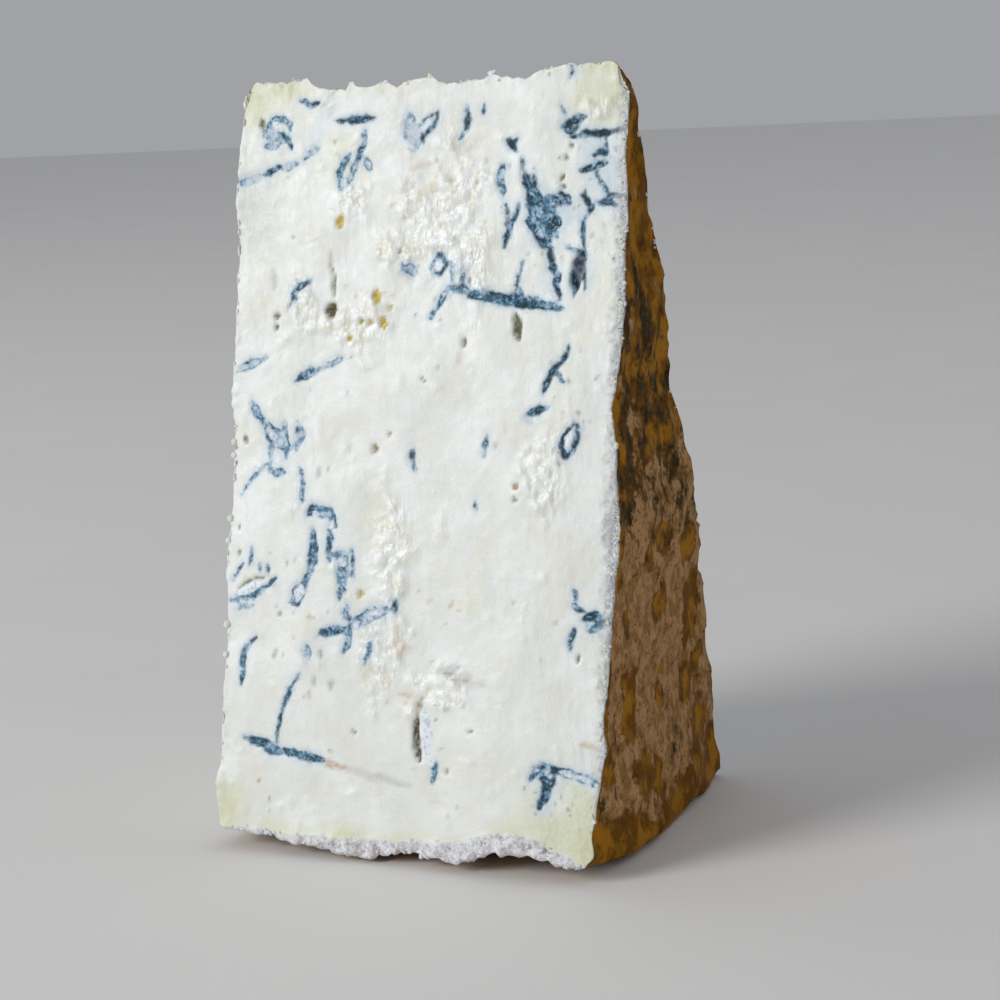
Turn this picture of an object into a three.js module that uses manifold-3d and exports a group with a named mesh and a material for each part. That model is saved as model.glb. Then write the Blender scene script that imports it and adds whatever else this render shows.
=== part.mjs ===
// A tall wedge of blue cheese: a narrow slice of a half wheel, stood on its curved rind heel.
// Units are millimetres, +Z up. The slice's point is a thin edge along X at the top. The cut face
// that shows the veins looks towards -Y and the wheel's flat, rinded face looks towards +X.
// Places on the slice are given as x (across), r (down from the point edge) and a (-1 on the
// front cut, +1 on the back cut).

import * as THREE from 'three';
import { mergeVertices } from 'three/addons/utils/BufferGeometryUtils.js';
import Module from 'manifold-3d';

// ---- Driving dimensions --------------------------------------------------------------------

const WHEEL_RADIUS = 150; // from the point edge to the heel
const HALF_WHEEL_HEIGHT = 84.5; // the wheel was halved through its height
const SLICE_ANGLE_DEG = 26.1;
const POINT_THICKNESS = 1.8; // the point isn't a knife edge
const POINT_FADE = 7; // that extra thickness is gone this far down
const FLAT_SPOT_RISE = 0.3; // how far the heel is flattened where the slice stands on it
const HEEL_CALM_FROM = 12; // the heel is smooth this near its lowest line
const HEEL_CALM_TO = 20;
const HEEL_CLEARANCE = 0.6; // beyond there nothing comes nearer to the ground than this

const RIND_TAPER = 2.2; // both cuts draw the rinded face in as they near the heel
const RIND_TAPER_FROM = 126;
const RIND_TAPER_TO = 144;
const RIND_TAPER_SPAN = 0.55; // this far from each cut, as a share of the half angle
const RIND_CORNER_RADIUS = 3.5; // the wheel's rim, between rinded face and heel
const RIM_SWELL = 0.7; // the rim stands a little proud of the face and the heel
const RIM_REACH = 9;
const HEEL_BACK_SWELL = 3.0; // the heel is fuller behind than in front
const CUT_CORNER_RADIUS = 1.6; // the halved face meets the heel more sharply

const POINT_EDGE_SAG = 0.9; // the point edge dips in its middle
const POINT_EDGE_RISE = 2.6; // and climbs to its ends
const POINT_EDGE_POWER = 2.4;
const RELIEF_FADE = 14; // how far relief at a face reaches into its neighbours

const CELLS_ACROSS = 26;
const CELLS_THROUGH = 8;
const CELLS_DOWN = 38;
const CELL_CROWDING = 0.35; // rows are closer together towards the point and the heel

// Swellings of the two side faces, as [r, half width along r, height].
const RIND_SWELLS = [
  [46, 7, 0.7],
  [61, 8, -0.8],
  [86, 8, 1.1],
  [124, 7, -0.7],
];
const CUT_SWELLS = [
  [0, 5, -1.6],
  [20, 8, 0.7],
  [62, 4, 0.5],
  [70, 5, -0.8],
  [83, 6, -0.6],
  [104, 5, -0.7],
  [117, 6, -0.4],
  [141, 4, 0.8],
];

// Veins and holes that are deep enough to be hollows in the front cut, as
// [x, r] to [x, r], width, depth.
const FRONT_HOLLOWS = [
  [[1.6, 132.5], [2.9, 123.5], 2.4, 4.0], // deep slit low in the middle
  [[32.9, 42.6], [33.2, 33.7], 3.2, 4.0], // blue cavity near the rind
  [[20.8, 46.4], [21.2, 51.2], 2.6, 3.0],
  [[-20.1, 43.5], [-20.1, 46.1], 2.4, 2.6],
  [[-10.1, 41.5], [-9.2, 47.8], 2.0, 2.2],
  [[-18.9, 26.6], [-18.9, 28.6], 1.9, 2.0],
  [[-39.8, 101.3], [-31.0, 98.9], 3.0, 1.6], // lens at the halved edge
  [[-27.0, 104.0], [-24.9, 99.0], 2.6, 1.5],
  [[33.4, 66.6], [31.0, 73.2], 3.4, 1.5],
  [[4.1, 41.1], [17.0, 43.0], 2.0, 1.4], // the long level track
  [[15.0, 42.8], [30.4, 45.0], 2.2, 1.5],
  [[24.0, 19.5], [26.0, 31.5], 5.0, 1.4], // the broad network above it
  [[26.2, 28.0], [26.8, 41.0], 2.4, 1.3],
  [[19.5, 24.0], [17.5, 33.5], 1.8, 1.1],
  [[29.0, 25.0], [40.5, 22.5], 2.2, 1.2],
  [[30.0, 9.0], [41.0, 11.5], 2.2, 1.2],
  [[26.4, 133.1], [40.4, 133.9], 2.6, 1.4], // level arm and stem near the heel
  [[32.0, 133.5], [29.6, 139.2], 2.6, 1.5],
  [[-36.2, 130.9], [-13.2, 135.2], 2.2, 1.2],
  [[-24.6, 117.5], [-29.0, 130.8], 1.8, 1.1],
  [[-20.0, 109.0], [-3.0, 103.0], 2.4, 1.3],
  [[-13.5, 102.5], [-14.5, 111.5], 2.0, 1.1],
  [[-22.6, 87.5], [-23.8, 98.5], 2.4, 1.3],
  [[-17.5, 86.0], [-15.6, 100.5], 2.6, 1.3],
  [[31.8, 51.8], [27.0, 60.6], 2.4, 1.3],
  [[23.6, 65.8], [28.2, 63.8], 2.6, 1.3],
  [[-37.8, 64.0], [-30.4, 68.5], 2.4, 1.2],
  [[-30.6, 68.0], [-30.6, 77.0], 3.6, 1.3],
  [[-17.2, 11.5], [-18.8, 20.6], 2.6, 1.3],
  [[-4.0, 8.0], [-6.5, 14.5], 3.4, 1.3],
];

// Veins of the two cuts that are drawn by rule: how many, and the seed of each face.
const BACK_HOLLOWS = 14;
const BACK_SEED = 41;
const HALVED_HOLLOWS = 6;
const HALVED_SEED = 73;

// Torn flakes that stand up on the point edge, as [x, half width, height].
const POINT_FLAKES = [
  [-29.7, 2.0, 1.9],
  [-18.1, 1.1, 2.2],
  [-11.2, 1.5, 1.6],
  [-0.6, 1.9, 1.6],
  [7.5, 1.4, 1.0],
  [12.8, 1.8, 1.7],
  [25.6, 1.6, 1.0],
  [31.5, 2.0, 1.1],
];

// Beads of paste that the knife rolled up on the edge between the front and the halved face, by r.
const EDGE_BEADS = [71.5, 74.2, 87.0, 91.5, 108.5, 114.5];
const BEAD_RADIUS = 1.0;

const CRUST_LUMPS = 16; // crumbs of crust along the front of the heel
const CRUST_LIFT = 0.8; // they sit this much above the heel's own edge
const CRUST_SEED = 17;

const PASTE_COLOUR = 0xe9e3c4;

// ---- Small helpers --------------------------------------------------------------------------

const HALF_ANGLE = THREE.MathUtils.degToRad(SLICE_ANGLE_DEG / 2);
const HALF_WIDTH = HALF_WHEEL_HEIGHT / 2;

const { smoothstep, lerp } = THREE.MathUtils;

function hash(i, j, k) {
  const s = Math.sin(i * 127.1 + j * 311.7 + k * 74.7) * 43758.5453;
  return s - Math.floor(s);
}

// Smooth value noise from -1 to 1.
function noise(x, y, z) {
  const [i, j, k] = [x, y, z].map(Math.floor);
  const [u, v, w] = [x - i, y - j, z - k].map((t) => t * t * (3 - 2 * t));
  const level = (dk) =>
    lerp(
      lerp(hash(i, j, k + dk), hash(i + 1, j, k + dk), u),
      lerp(hash(i, j + 1, k + dk), hash(i + 1, j + 1, k + dk), u),
      v,
    );
  return 2 * lerp(level(0), level(1), w) - 1;
}

function swell(list, t) {
  return list.reduce((sum, [centre, reach, height]) => {
    const d = (t - centre) / reach;
    return sum + height * Math.exp(-d * d);
  }, 0);
}

// ---- Relief of each face, outwards in millimetres -------------------------------------------

function cutRelief(x, r, seed) {
  const broad = 0.55 * noise(x / 24, r / 30, seed);
  const fine = 0.28 * noise(x / 8, r / 10, seed + 2);
  return broad + fine;
}

function rindRelief(y, r, a) {
  const lumps = 0.5 * noise(y / 7, r / 8, 31) + 0.3 * noise(y / 3.6, r / 4, 33);
  const nearCut = smoothstep(Math.abs(a), 1 - RIND_TAPER_SPAN, 1);
  const taper = RIND_TAPER * nearCut * smoothstep(r, RIND_TAPER_FROM, RIND_TAPER_TO);
  const rim = RIM_SWELL * smoothstep(r, WHEEL_RADIUS - RIM_REACH, WHEEL_RADIUS);
  return swell(RIND_SWELLS, r) + lumps + rim - taper;
}

function halvedRelief(y, r) {
  return swell(CUT_SWELLS, r) + 0.35 * noise(y / 8, r / 7, 51);
}

function heelRelief(x, y, a) {
  const calm = smoothstep(Math.abs(y), HEEL_CALM_FROM, HEEL_CALM_TO);
  const crags = 0.8 * noise(x / 6, y / 7, 61) + 0.5 * noise(x / 3.2, y / 4, 63);
  const rim = RIM_SWELL * smoothstep(x, HALF_WIDTH - RIM_REACH, HALF_WIDTH);
  return (crags + rim) * calm + HEEL_BACK_SWELL * smoothstep(a, 0.4, 1);
}

function pointRelief(x) {
  const end = Math.abs(x) / HALF_WIDTH;
  return POINT_EDGE_RISE * Math.pow(end, POINT_EDGE_POWER) - POINT_EDGE_SAG + 0.25 * noise(x / 3, 0, 71);
}

// ---- The slice's surface --------------------------------------------------------------------

// A corner of the width-by-radius rectangle is pressed onto a circle arc.
function roundCorner(x, r, side, radius) {
  const dx = side * x - (HALF_WIDTH - radius);
  const dr = r - (WHEEL_RADIUS - radius);
  if (dx <= 0 || dr <= 0) return [x, r];
  const press = Math.max(dx, dr) / Math.hypot(dx, dr);
  return [side * (HALF_WIDTH - radius + dx * press), WHEEL_RADIUS - radius + dr * press];
}

// Where the plain slice and its relief put the place (x, r, a).
function slicePoint(x0, r0, a) {
  let [x, r] = roundCorner(x0, r0, 1, RIND_CORNER_RADIUS);
  [x, r] = roundCorner(x, r, -1, CUT_CORNER_RADIUS);
  const y = r * Math.sin(a * HALF_ANGLE);

  const toRind = smoothstep(x0, HALF_WIDTH - RELIEF_FADE, HALF_WIDTH);
  const toHalved = smoothstep(-x0, HALF_WIDTH - RELIEF_FADE, HALF_WIDTH);
  const toHeel = smoothstep(r0, WHEEL_RADIUS - RELIEF_FADE, WHEEL_RADIUS);
  const toPoint = 1 - smoothstep(r0, 0, RELIEF_FADE);
  const toFront = smoothstep(-a, 0, 1);
  const toBack = smoothstep(a, 0, 1);

  const outX = toRind * rindRelief(y, r0, a) - toHalved * halvedRelief(y, r0);
  const outR = toHeel * heelRelief(x0, y, a) - toPoint * pointRelief(x0);
  const thick = 0.5 * POINT_THICKNESS * Math.exp(-r0 / POINT_FADE);
  const settle = smoothstep(r0, 0, POINT_FADE);
  const outY = toBack * cutRelief(x0, r0, 21) * settle - toFront * cutRelief(x0, r0, 11) * settle;

  const reach = r + outR;
  const turn = a * HALF_ANGLE;
  const z = WHEEL_RADIUS - reach * Math.cos(turn);
  const ground = FLAT_SPOT_RISE + HEEL_CLEARANCE * smoothstep(Math.abs(y), HEEL_CALM_FROM, HEEL_CALM_TO);
  return new THREE.Vector3(x + outX, reach * Math.sin(turn) + a * thick + outY, Math.max(z, ground));
}

// Rows crowd towards both ends of the radius.
function crowd(t) {
  return t - (CELL_CROWDING * Math.sin(2 * Math.PI * t)) / (2 * Math.PI);
}

function sliceGeometry() {
  const box = new THREE.BoxGeometry(2, 2, 1, CELLS_ACROSS, CELLS_THROUGH, CELLS_DOWN);
  const place = box.attributes.position;
  for (let i = 0; i < place.count; i += 1) {
    const x = place.getX(i) * HALF_WIDTH;
    const r = crowd(0.5 - place.getZ(i)) * WHEEL_RADIUS;
    const p = slicePoint(x, r, place.getY(i));
    place.setXYZ(i, p.x, p.y, p.z);
  }
  return box;
}

// ---- Hollows, flakes, beads and crumbs ------------------------------------------------------

// A spindle is a low ball stretched from one place to another on a face.
function spindle(start, end, outward, width, depth) {
  const along = end.clone().sub(start);
  const length = along.length();
  along.normalize();
  const normal = outward.clone().addScaledVector(along, -outward.dot(along)).normalize();
  const across = normal.clone().cross(along);
  const ball = new THREE.SphereGeometry(1, 6, 4);
  ball.scale(width / 2, depth, length / 2 + width / 4);
  const turn = new THREE.Matrix4().makeBasis(across, normal, along);
  turn.setPosition(start.clone().add(end).multiplyScalar(0.5));
  return ball.applyMatrix4(turn);
}

function cutNormal(a) {
  return new THREE.Vector3(0, a * Math.cos(HALF_ANGLE), Math.sin(HALF_ANGLE));
}

function frontHollows() {
  return FRONT_HOLLOWS.map(([from, to, width, depth]) =>
    spindle(slicePoint(...from, -1), slicePoint(...to, -1), cutNormal(-1), width, depth),
  );
}

// The hidden cuts carry veins like those of the front: short, leaning strokes spread over a face.
function backHollows() {
  return Array.from({ length: BACK_HOLLOWS }, (_, n) => {
    const x = HALF_WIDTH * lerp(-0.82, 0.82, hash(n, BACK_SEED, 1));
    const r = WHEEL_RADIUS * lerp(0.08, 0.88, (n + hash(n, BACK_SEED, 2)) / BACK_HOLLOWS);
    const lean = lerp(-1.3, 1.3, hash(n, BACK_SEED, 3));
    const length = lerp(5, 13, hash(n, BACK_SEED, 4));
    const reach = [(Math.sin(lean) * length) / 2, (Math.cos(lean) * length) / 2];
    const ends = [-1, 1].map((s) => {
      const endX = THREE.MathUtils.clamp(x + s * reach[0], 2 - HALF_WIDTH, HALF_WIDTH - 2);
      return slicePoint(endX, r + s * reach[1], 1);
    });
    return spindle(ends[0], ends[1], cutNormal(1), lerp(1.8, 3.2, hash(n, BACK_SEED, 5)), 1.3);
  });
}

function halvedHollows() {
  return Array.from({ length: HALVED_HOLLOWS }, (_, n) => {
    const r = WHEEL_RADIUS * lerp(0.34, 0.92, (n + hash(n, HALVED_SEED, 1)) / HALVED_HOLLOWS);
    const a = lerp(-0.55, 0.55, hash(n, HALVED_SEED, 2));
    const ends = [-1, 1].map((s) => slicePoint(-HALF_WIDTH, r + s * 4, a + s * 0.12));
    return spindle(ends[0], ends[1], new THREE.Vector3(-1, 0, 0), 2.4, 1.2);
  });
}

function pointFlakes() {
  return POINT_FLAKES.map(([x, half, height], n) => {
    const foot = slicePoint(x, 0, 0);
    const lean = half * (hash(n, 5, 9) - 0.5);
    const flake = new THREE.SphereGeometry(1, 6, 4);
    flake.scale(half, 0.55, height);
    flake.rotateY(lean * 0.4);
    return flake.translate(foot.x, foot.y, foot.z - 0.2);
  });
}

function edgeBeads() {
  return EDGE_BEADS.map((r) => {
    const p = slicePoint(-HALF_WIDTH, r, -1);
    return new THREE.SphereGeometry(BEAD_RADIUS, 6, 4).translate(p.x - 0.1, p.y + 0.4, p.z);
  });
}

function crustLumps() {
  return Array.from({ length: CRUST_LUMPS }, (_, n) => {
    const x = HALF_WIDTH * lerp(-0.93, 0.9, (n + hash(n, CRUST_SEED, 1)) / CRUST_LUMPS);
    const p = slicePoint(x, WHEEL_RADIUS, -1);
    const size = lerp(1.0, 1.7, hash(n, CRUST_SEED, 2));
    const lump = new THREE.SphereGeometry(1, 6, 4);
    lump.scale(size * 1.4, size * 0.8, size * 0.8);
    lump.rotateX(-HALF_ANGLE);
    return lump.translate(p.x, p.y + 0.7, Math.max(p.z + CRUST_LIFT, FLAT_SPOT_RISE + size));
  });
}

// ---- Joining and cutting --------------------------------------------------------------------

const wasm = await Module();
wasm.setup();

function toSolid(geometry) {
  const bare = geometry.clone();
  bare.deleteAttribute('normal');
  bare.deleteAttribute('uv');
  const merged = mergeVertices(bare, 1e-4);
  const mesh = new wasm.Mesh({
    numProp: 3,
    vertProperties: new Float32Array(merged.attributes.position.array),
    triVerts: new Uint32Array(merged.index.array),
  });
  return new wasm.Manifold(mesh);
}

function toGeometry(solid) {
  const mesh = solid.getMesh();
  const geometry = new THREE.BufferGeometry();
  geometry.setAttribute('position', new THREE.BufferAttribute(new Float32Array(mesh.vertProperties), 3));
  geometry.setIndex(new THREE.BufferAttribute(new Uint32Array(mesh.triVerts), 1));
  return geometry;
}

function cheeseGeometry() {
  let solid = toSolid(sliceGeometry());
  for (const extra of [...pointFlakes(), ...edgeBeads(), ...crustLumps()]) {
    solid = solid.add(toSolid(extra));
  }
  for (const hollow of [...frontHollows(), ...backHollows(), ...halvedHollows()]) {
    solid = solid.subtract(toSolid(hollow));
  }
  const geometry = toGeometry(solid);
  geometry.computeBoundingBox();
  const { min, max } = geometry.boundingBox;
  // The origin is the middle of the slice's box, on the surface that it stands on.
  geometry.translate(-(min.x + max.x) / 2, -(min.y + max.y) / 2, -min.z);
  geometry.computeVertexNormals();
  return geometry;
}

const paste = new THREE.MeshStandardMaterial({ color: PASTE_COLOUR, roughness: 0.55, metalness: 0 });
const wedge = new THREE.Mesh(cheeseGeometry(), paste);
wedge.name = 'cheese_wedge';

const cheese = new THREE.Group();
cheese.add(wedge);

export default cheese;
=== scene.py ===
"""A tall wedge of blue cheese: veined cut faces, torn point edge and a mottled washed rind.

Places on the slice are x (across), r (down from the point edge) and a (-1 on the front cut, +1 on
the back cut), in millimetres, as in the CAD. Marks that the photo shows are listed by their pixels
in its 1000 x 1000 frame, and one function puts a pixel onto the face that it shows.
"""

import math

import bmesh
import bpy
import numpy as np
from mathutils import Matrix, Vector


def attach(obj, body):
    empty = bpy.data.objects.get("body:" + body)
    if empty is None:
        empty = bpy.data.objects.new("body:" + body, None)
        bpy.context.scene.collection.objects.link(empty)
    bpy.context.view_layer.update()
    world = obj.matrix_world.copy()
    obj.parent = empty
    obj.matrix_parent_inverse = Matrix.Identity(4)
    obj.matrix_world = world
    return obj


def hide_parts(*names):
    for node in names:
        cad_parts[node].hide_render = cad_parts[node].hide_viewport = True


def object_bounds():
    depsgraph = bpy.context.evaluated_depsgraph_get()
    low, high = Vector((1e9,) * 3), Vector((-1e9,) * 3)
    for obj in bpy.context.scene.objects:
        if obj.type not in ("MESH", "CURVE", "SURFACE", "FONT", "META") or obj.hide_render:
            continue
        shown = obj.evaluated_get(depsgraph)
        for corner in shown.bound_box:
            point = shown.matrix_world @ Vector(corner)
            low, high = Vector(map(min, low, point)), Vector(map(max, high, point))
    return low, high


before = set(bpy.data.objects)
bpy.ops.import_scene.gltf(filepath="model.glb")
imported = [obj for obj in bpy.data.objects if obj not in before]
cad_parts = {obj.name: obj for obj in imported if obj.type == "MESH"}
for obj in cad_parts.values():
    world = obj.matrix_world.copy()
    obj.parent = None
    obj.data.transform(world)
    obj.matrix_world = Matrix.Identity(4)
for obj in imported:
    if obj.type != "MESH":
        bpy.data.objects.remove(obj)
cad_low, cad_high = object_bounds()

MM = 0.001
TINY = 1e-9  # kept out of divisions

# ---- Sizes shared with the CAD (millimetres) -------------------------------------------------

WHEEL_RADIUS = 150.0
HALF_WHEEL_HEIGHT = 84.5
SLICE_ANGLE_DEG = 26.1
POINT_THICKNESS = 1.8
POINT_FADE = 7.0
FLAT_SPOT_RISE = 0.3
HEEL_CALM_FROM = 12.0
HEEL_CALM_TO = 20.0
HEEL_CLEARANCE = 0.6
RIND_TAPER = 2.2
RIND_TAPER_FROM = 126.0
RIND_TAPER_TO = 144.0
RIND_TAPER_SPAN = 0.55
RIND_CORNER_RADIUS = 3.5
RIM_SWELL = 0.7
RIM_REACH = 9.0
HEEL_BACK_SWELL = 3.0
CUT_CORNER_RADIUS = 1.6
POINT_EDGE_SAG = 0.9
POINT_EDGE_RISE = 2.6
POINT_EDGE_POWER = 2.4
RELIEF_FADE = 14.0
RIND_SWELLS = [(46, 7, 0.7), (61, 8, -0.8), (86, 8, 1.1), (124, 7, -0.7)]
CUT_SWELLS = [
    (0, 5, -1.6),
    (20, 8, 0.7),
    (62, 4, 0.5),
    (70, 5, -0.8),
    (83, 6, -0.6),
    (104, 5, -0.7),
    (117, 6, -0.4),
    (141, 4, 0.8),
]

HALF_ANGLE = math.radians(SLICE_ANGLE_DEG / 2)
HALF_WIDTH = HALF_WHEEL_HEIGHT / 2
BOX_MIDDLE = np.array([0.157, 0.301, FLAT_SPOT_RISE])  # the frame's origin, from the slice's own

# ---- The photo's camera ----------------------------------------------------------------------

PHOTO_SIDE = 1000.0
FOCAL_PIXELS = 2331.0
VIEW_TURN = math.radians(25.99)
VIEW_DOWN = math.radians(11.23)
VIEW_ROLL = math.radians(3.67)
CAMERA_PLACE = np.array([209.9, -411.4, 157.4])
SENSOR_WIDTH = 36.0


def camera_axes():
    """The camera's right, up and forward, on the slice's axes."""
    ct, st = math.cos(VIEW_TURN), math.sin(VIEW_TURN)
    cd, sd = math.cos(VIEW_DOWN), math.sin(VIEW_DOWN)
    level_right = np.array([ct, st, 0.0])
    level_up = np.array([-sd * st, sd * ct, cd])
    forward = np.array([-cd * st, cd * ct, -sd])
    cr, sr = math.cos(VIEW_ROLL), math.sin(VIEW_ROLL)
    return level_right * cr - level_up * sr, level_right * sr + level_up * cr, forward


CAMERA_RIGHT, CAMERA_UP, CAMERA_FORWARD = camera_axes()
FRONT_NORMAL = np.array([0.0, -math.cos(HALF_ANGLE), math.sin(HALF_ANGLE)])
POINT_LINE = np.array([0.0, 0.0, WHEEL_RADIUS])


def pixel_ray(px, py):
    across = (px - PHOTO_SIDE / 2) / FOCAL_PIXELS
    down = (py - PHOTO_SIDE / 2) / FOCAL_PIXELS
    return CAMERA_FORWARD + CAMERA_RIGHT * across - CAMERA_UP * down


def pixel_on_front(px, py):
    """The front cut's (x, r) under a pixel of the photo."""
    ray = pixel_ray(px, py)
    reach = ((POINT_LINE - CAMERA_PLACE) @ FRONT_NORMAL) / (ray @ FRONT_NORMAL)
    spot = CAMERA_PLACE + ray * reach
    return spot[0], math.hypot(spot[1], WHEEL_RADIUS - spot[2])


def pixel_below_point(px, py):
    """The front cut's x under a pixel, and how far below the wheel's axis the pixel lies."""
    ray = pixel_ray(px, py)
    reach = ((POINT_LINE - CAMERA_PLACE) @ FRONT_NORMAL) / (ray @ FRONT_NORMAL)
    spot = CAMERA_PLACE + ray * reach
    return spot[0], (WHEEL_RADIUS - spot[2]) / math.cos(HALF_ANGLE)


def pixel_on_rind(px, py):
    """The rinded face's (y, r) under a pixel of the photo."""
    ray = pixel_ray(px, py)
    reach = (HALF_WIDTH - CAMERA_PLACE[0]) / ray[0]
    spot = CAMERA_PLACE + ray * reach
    return spot[1], math.hypot(spot[1], WHEEL_RADIUS - spot[2])


# ---- Noise -----------------------------------------------------------------------------------


HASH_STEPS = (127.1, 311.7, 74.7)
HASH_SCALE = 43758.5453
OCTAVE_SEED_STEP = 7


def smooth(value, low, high):
    t = np.clip((value - low) / (high - low), 0.0, 1.0)
    return t * t * (3 - 2 * t)


def hashed(i, j, k):
    s = np.sin(i * HASH_STEPS[0] + j * HASH_STEPS[1] + k * HASH_STEPS[2]) * HASH_SCALE
    return s - np.floor(s)


def noise(x, y, z):
    """Smooth value noise from -1 to 1, the same as the CAD's."""
    x, y, z = np.broadcast_arrays(np.asarray(x, float), np.asarray(y, float), float(z))
    i, j, k = np.floor(x), np.floor(y), np.floor(z)
    u, v, w = [t * t * (3 - 2 * t) for t in (x - i, y - j, z - k)]

    def level(dk):
        low = hashed(i, j, k + dk) * (1 - u) + hashed(i + 1, j, k + dk) * u
        high = hashed(i, j + 1, k + dk) * (1 - u) + hashed(i + 1, j + 1, k + dk) * u
        return low * (1 - v) + high * v

    return 2 * (level(0) * (1 - w) + level(1) * w) - 1


def layered(x, y, seed, octaves=3):
    total, size = 0.0, 1.0
    for n in range(octaves):
        total = total + size * noise(x * 2**n, y * 2**n, seed + OCTAVE_SEED_STEP * n)
        size *= 0.5
    return total


def waves(table, u, v, seed=0):
    """The sum of the table's noises, each as (height, size along u, size along v, seed)."""
    return sum(height * noise(u / du, v / dv, seed + own) for height, du, dv, own in table)


def rough(layers, u, v):
    """Layered noise, from (height, size along u, size along v, seed, octaves)."""
    height, du, dv, seed, octaves = layers
    return height * layered(u / du, v / dv, seed, octaves)


def swell(bumps, t):
    return sum(height * np.exp(-(((t - centre) / reach) ** 2)) for centre, reach, height in bumps)


# ---- The slice's surface, as in the CAD ------------------------------------------------------


CUT_WAVES = [(0.55, 24, 30, 0), (0.28, 8, 10, 2)]
CUT_SEEDS = {"front": 11, "back": 21}
RIND_WAVES = [(0.5, 7, 8, 31), (0.3, 3.6, 4, 33)]
HALVED_WAVES = [(0.35, 8, 7, 51)]
HEEL_WAVES = [(0.8, 6, 7, 61), (0.5, 3.2, 4, 63)]
POINT_WAVES = [(0.25, 3, math.inf, 71)]
HEEL_SWELL_FROM = 0.4


def rind_relief(y, r, a):
    lumps = waves(RIND_WAVES, y, r)
    near_cut = smooth(np.abs(a), 1 - RIND_TAPER_SPAN, 1)
    taper = RIND_TAPER * near_cut * smooth(r, RIND_TAPER_FROM, RIND_TAPER_TO)
    rim = RIM_SWELL * smooth(r, WHEEL_RADIUS - RIM_REACH, WHEEL_RADIUS)
    return swell(RIND_SWELLS, r) + lumps + rim - taper


def halved_relief(y, r):
    return swell(CUT_SWELLS, r) + waves(HALVED_WAVES, y, r)


def heel_relief(x, y, a):
    calm = smooth(np.abs(y), HEEL_CALM_FROM, HEEL_CALM_TO)
    crags = waves(HEEL_WAVES, x, y)
    rim = RIM_SWELL * smooth(x, HALF_WIDTH - RIM_REACH, HALF_WIDTH)
    return (crags + rim) * calm + HEEL_BACK_SWELL * smooth(a, HEEL_SWELL_FROM, 1)


def point_relief(x):
    end = np.abs(x) / HALF_WIDTH
    return POINT_EDGE_RISE * end**POINT_EDGE_POWER - POINT_EDGE_SAG + waves(POINT_WAVES, x, 0)


def round_corner(x, r, side, radius):
    dx = side * x - (HALF_WIDTH - radius)
    dr = r - (WHEEL_RADIUS - radius)
    inside = (dx > 0) & (dr > 0)
    press = np.where(inside, np.maximum(dx, dr) / np.maximum(np.hypot(dx, dr), TINY), 1.0)
    return (
        np.where(inside, side * (HALF_WIDTH - radius + dx * press), x),
        np.where(inside, WHEEL_RADIUS - radius + dr * press, r),
    )


# Outlines of the front cut's torn edges, by their pixels in the photo, from left to right.
TOP_EDGE = [
    (246, 98), (249, 89), (254, 83), (268, 81), (283, 83), (291, 84), (295, 77), (300, 81), (309, 76),
    (313, 83), (319, 88), (335, 90), (341, 88), (349, 92), (351, 83), (355, 80), (357, 87), (362, 88),
    (375, 86), (387, 80), (393, 84), (400, 86), (407, 80), (420, 79), (435, 76), (439, 81), (452, 83),
    (470, 80), (487, 79), (495, 72), (503, 75), (520, 78), (530, 77), (540, 72), (555, 68), (570, 63),
    (580, 65), (590, 62), (605, 61), (617, 60), (624, 65), (629, 79),
]
UNDER_EDGE = [
    (222, 828), (240, 830), (265, 835), (289, 840), (300, 844), (327, 848), (348, 855), (369, 859),
    (391, 854), (423, 855), (438, 858), (452, 864), (470, 860), (496, 852), (512, 856), (527, 855),
    (543, 860), (560, 865), (575, 868), (591, 870), (601, 870),
]
CRUST_EDGE = [
    (218, 836), (226, 830), (240, 828), (280, 833), (343, 840), (400, 841), (440, 843), (464, 841),
    (480, 836), (500, 834), (512, 836), (535, 840), (559, 856), (575, 864), (590, 868), (602, 872),
]
TORN_EDGE_REACH = 6.0
JAG_WAVES = [(0.22, 0.9, math.inf, 121), (0.15, 2.2, 0.5, 123)]
CORNER_FILL = 1.0  # the point edge's left corner is squarer than the CAD's
CORNER_FILL_DOWN = (1.5, 7.5)
POINT_BACK_DROP = 0.8  # the point edge falls by this towards the back cut
POINT_BACK_DROP_BY = 0.8
TOP_KNEE = 1.2  # above this height over the axis, the point edge's peaks are pressed
TOP_PRESS = 0.6  # the share of them that is left
UNDER_EDGE_REACH = 9.0
UNDER_EDGE_FROM = 0.3


def profile(pixels):
    """A row of pixels on the front cut, as its x and its distance below the wheel's axis."""
    return np.array([pixel_below_point(*p) for p in pixels]).T


def torn_edges(x, r0, y, a):
    """How far the photo's ragged edges move a place along the cut, beyond the CAD's outline."""
    top_x, top_below = profile(TOP_EDGE)
    jag = waves(JAG_WAVES, x, a)
    peak = np.maximum(-np.interp(x, top_x, top_below) - jag - TOP_KNEE, 0)
    rise = point_relief(x) + np.interp(x, top_x, top_below) + jag + (1 - TOP_PRESS) * peak
    at_top = 1 - smooth(r0, 0, TORN_EDGE_REACH)
    rise = rise + POINT_BACK_DROP * smooth(a, -1, POINT_BACK_DROP_BY)
    under_x, under_r = profile(UNDER_EDGE)
    drop = np.interp(x, under_x, under_r) - WHEEL_RADIUS - heel_relief(x, y, a)
    at_heel = smooth(r0, WHEEL_RADIUS - UNDER_EDGE_REACH, WHEEL_RADIUS)
    at_heel = at_heel * smooth(-a, UNDER_EDGE_FROM, 1)
    return rise * at_top + drop * at_heel


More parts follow.
